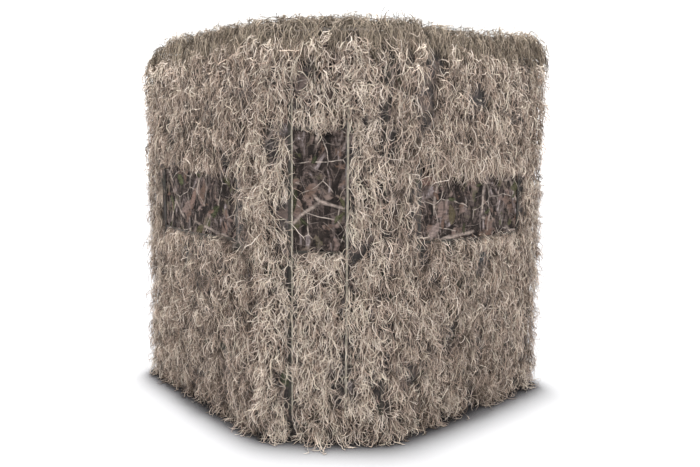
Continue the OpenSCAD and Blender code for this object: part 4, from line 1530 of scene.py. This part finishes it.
def build_seams():
    """Dark corded seams: two beside the door's hinge, and a bound edge round each window."""
    panel = PANELS["corner"]
    zs = np.linspace(0.02, H - 0.02, 70)
    parts = []
    for x in (DOOR_W / 2 - 0.0040, DOOR_W / 2 - 0.0105):
        path = panel.at(x + 0.0004 * np.sin(zs * 40 + x * 900), zs, 0.0012 + 0 * zs)
        parts.append((*tube(path, 0.0019, 8), 0))
    ob = merged("hinge_seam_cords", parts, [CORD])
    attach(ob, "shell")
    for name in WALLS:
        panel = PANELS[name]
        hu, parts = WIN_W / 2 + 0.0045, []
        lo, hi = WIN_LOW - 0.0045, WIN_HIGH + 0.0045
        opening = ((-hu, lo), (hu, lo), (hu, hi), (-hu, hi))
        for a, b in zip(opening, opening[1:] + opening[:1]):
            k = max(12, int(2 + 40 * max(abs(a[0] - b[0]), abs(a[1] - b[1]))))
            u, v = np.linspace(a[0], b[0], k), np.linspace(a[1], b[1], k)
            path = panel.at(u, v, panel.surface(u, v) + 0.0002)
            way = panel.way(0.0, 1.0, 0.0) if a[1] == b[1] else panel.way(1.0, 0.0, 0.0)
            parts.append((*ribbon(path, way, 0.009, 0.0014), 0))
        ob = merged(f"{name}_window_binding", parts, [CORD])
        follow_hub(ob, name)
    panel, parts = PANELS["corner"], []
    hu = DWIN_W / 2 - 0.004
    for z in (DWIN_LOW - 0.005, DWIN_HIGH + 0.005):
        u = np.linspace(DWIN_X - hu, DWIN_X + hu, 12)
        path = panel.at(u, z + 0 * u, 0.0003 + 0 * u)
        parts.append((*ribbon(path, panel.way(0.0, 1.0, 0.0), 0.011, 0.0014), 0))
    ob = merged("door_window_binding", parts, [CORD])
    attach(ob, "door")


def finish_cad_nodes():
    for name in [*WALLS, "roof"]:
        for s in frame["nodes"][f"{name}_hub"].material_slots:
            s.material = HUB
    for s in frame["nodes"]["corner_pockets"].material_slots:
        s.material = SOCKET


# ---------------------------------------------------------------- stage


def build_stage():
    floor = [(-30, -30, 0), (30, -30, 0), (30, 30, 0), (-30, 30, 0)]
    mesh = poly_mesh("floor", floor, [(0, 1, 2, 3)], [(0, 0), (1, 0), (1, 1), (0, 1)])
    t = Tree("pale_floor", Roughness=0.9, Specular_IOR_Level=0.1)
    pale = t.ramp(t.noise(t.place(), 0.5, 2.0), [(0.3, (0.285, 0.285, 0.29)), (0.7, (0.305, 0.305, 0.31))])
    # The floor's colour darkens near the shelter through an ambient occlusion node: a painted contact shadow,
    # darker than the lamps give.
    near = t.node("AmbientOcclusion", {"Distance": 0.17}, samples=12).outputs["AO"]
    shadow_tones = [
        (0.42, (0.10, 0.095, 0.10)),
        (0.60, (0.36, 0.35, 0.36)),
        (0.80, (0.78, 0.78, 0.78)),
        (0.97, (1, 1, 1)),
    ]
    shade = t.ramp(near, shadow_tones)
    t.colour(t.mix(1.0, pale, shade, "MULTIPLY"))
    link("floor", mesh, [t.mat])
    world = bpy.data.worlds.new("studio")
    bpy.context.scene.world = world
    world.use_nodes = True
    world.node_tree.nodes["Background"].inputs[0].default_value = (1, 1, 1, 1)
    world.node_tree.nodes["Background"].inputs[1].default_value = 1.75
    sun = bpy.data.lights.new("overhead", "SUN")
    sun.energy, sun.angle = 7.4, math.radians(9)
    ob = bpy.data.objects.new("overhead", sun)
    behind = Matrix.Rotation(math.radians(-22), 3, "Z") @ Matrix.Rotation(math.radians(-4.5), 3, "X")
    ob.rotation_euler = behind.to_euler()
    bpy.context.scene.collection.objects.link(ob)
    bpy.context.scene.view_settings.view_transform = "Standard"


build_fabric()
build_corner()
build_roof_fabric()
build_wall_grass()
build_corner_grass()
build_roof_grass()
build_rods()
build_caps()
build_stake_loops()
build_zip()
build_seams()
finish_cad_nodes()
build_stage()
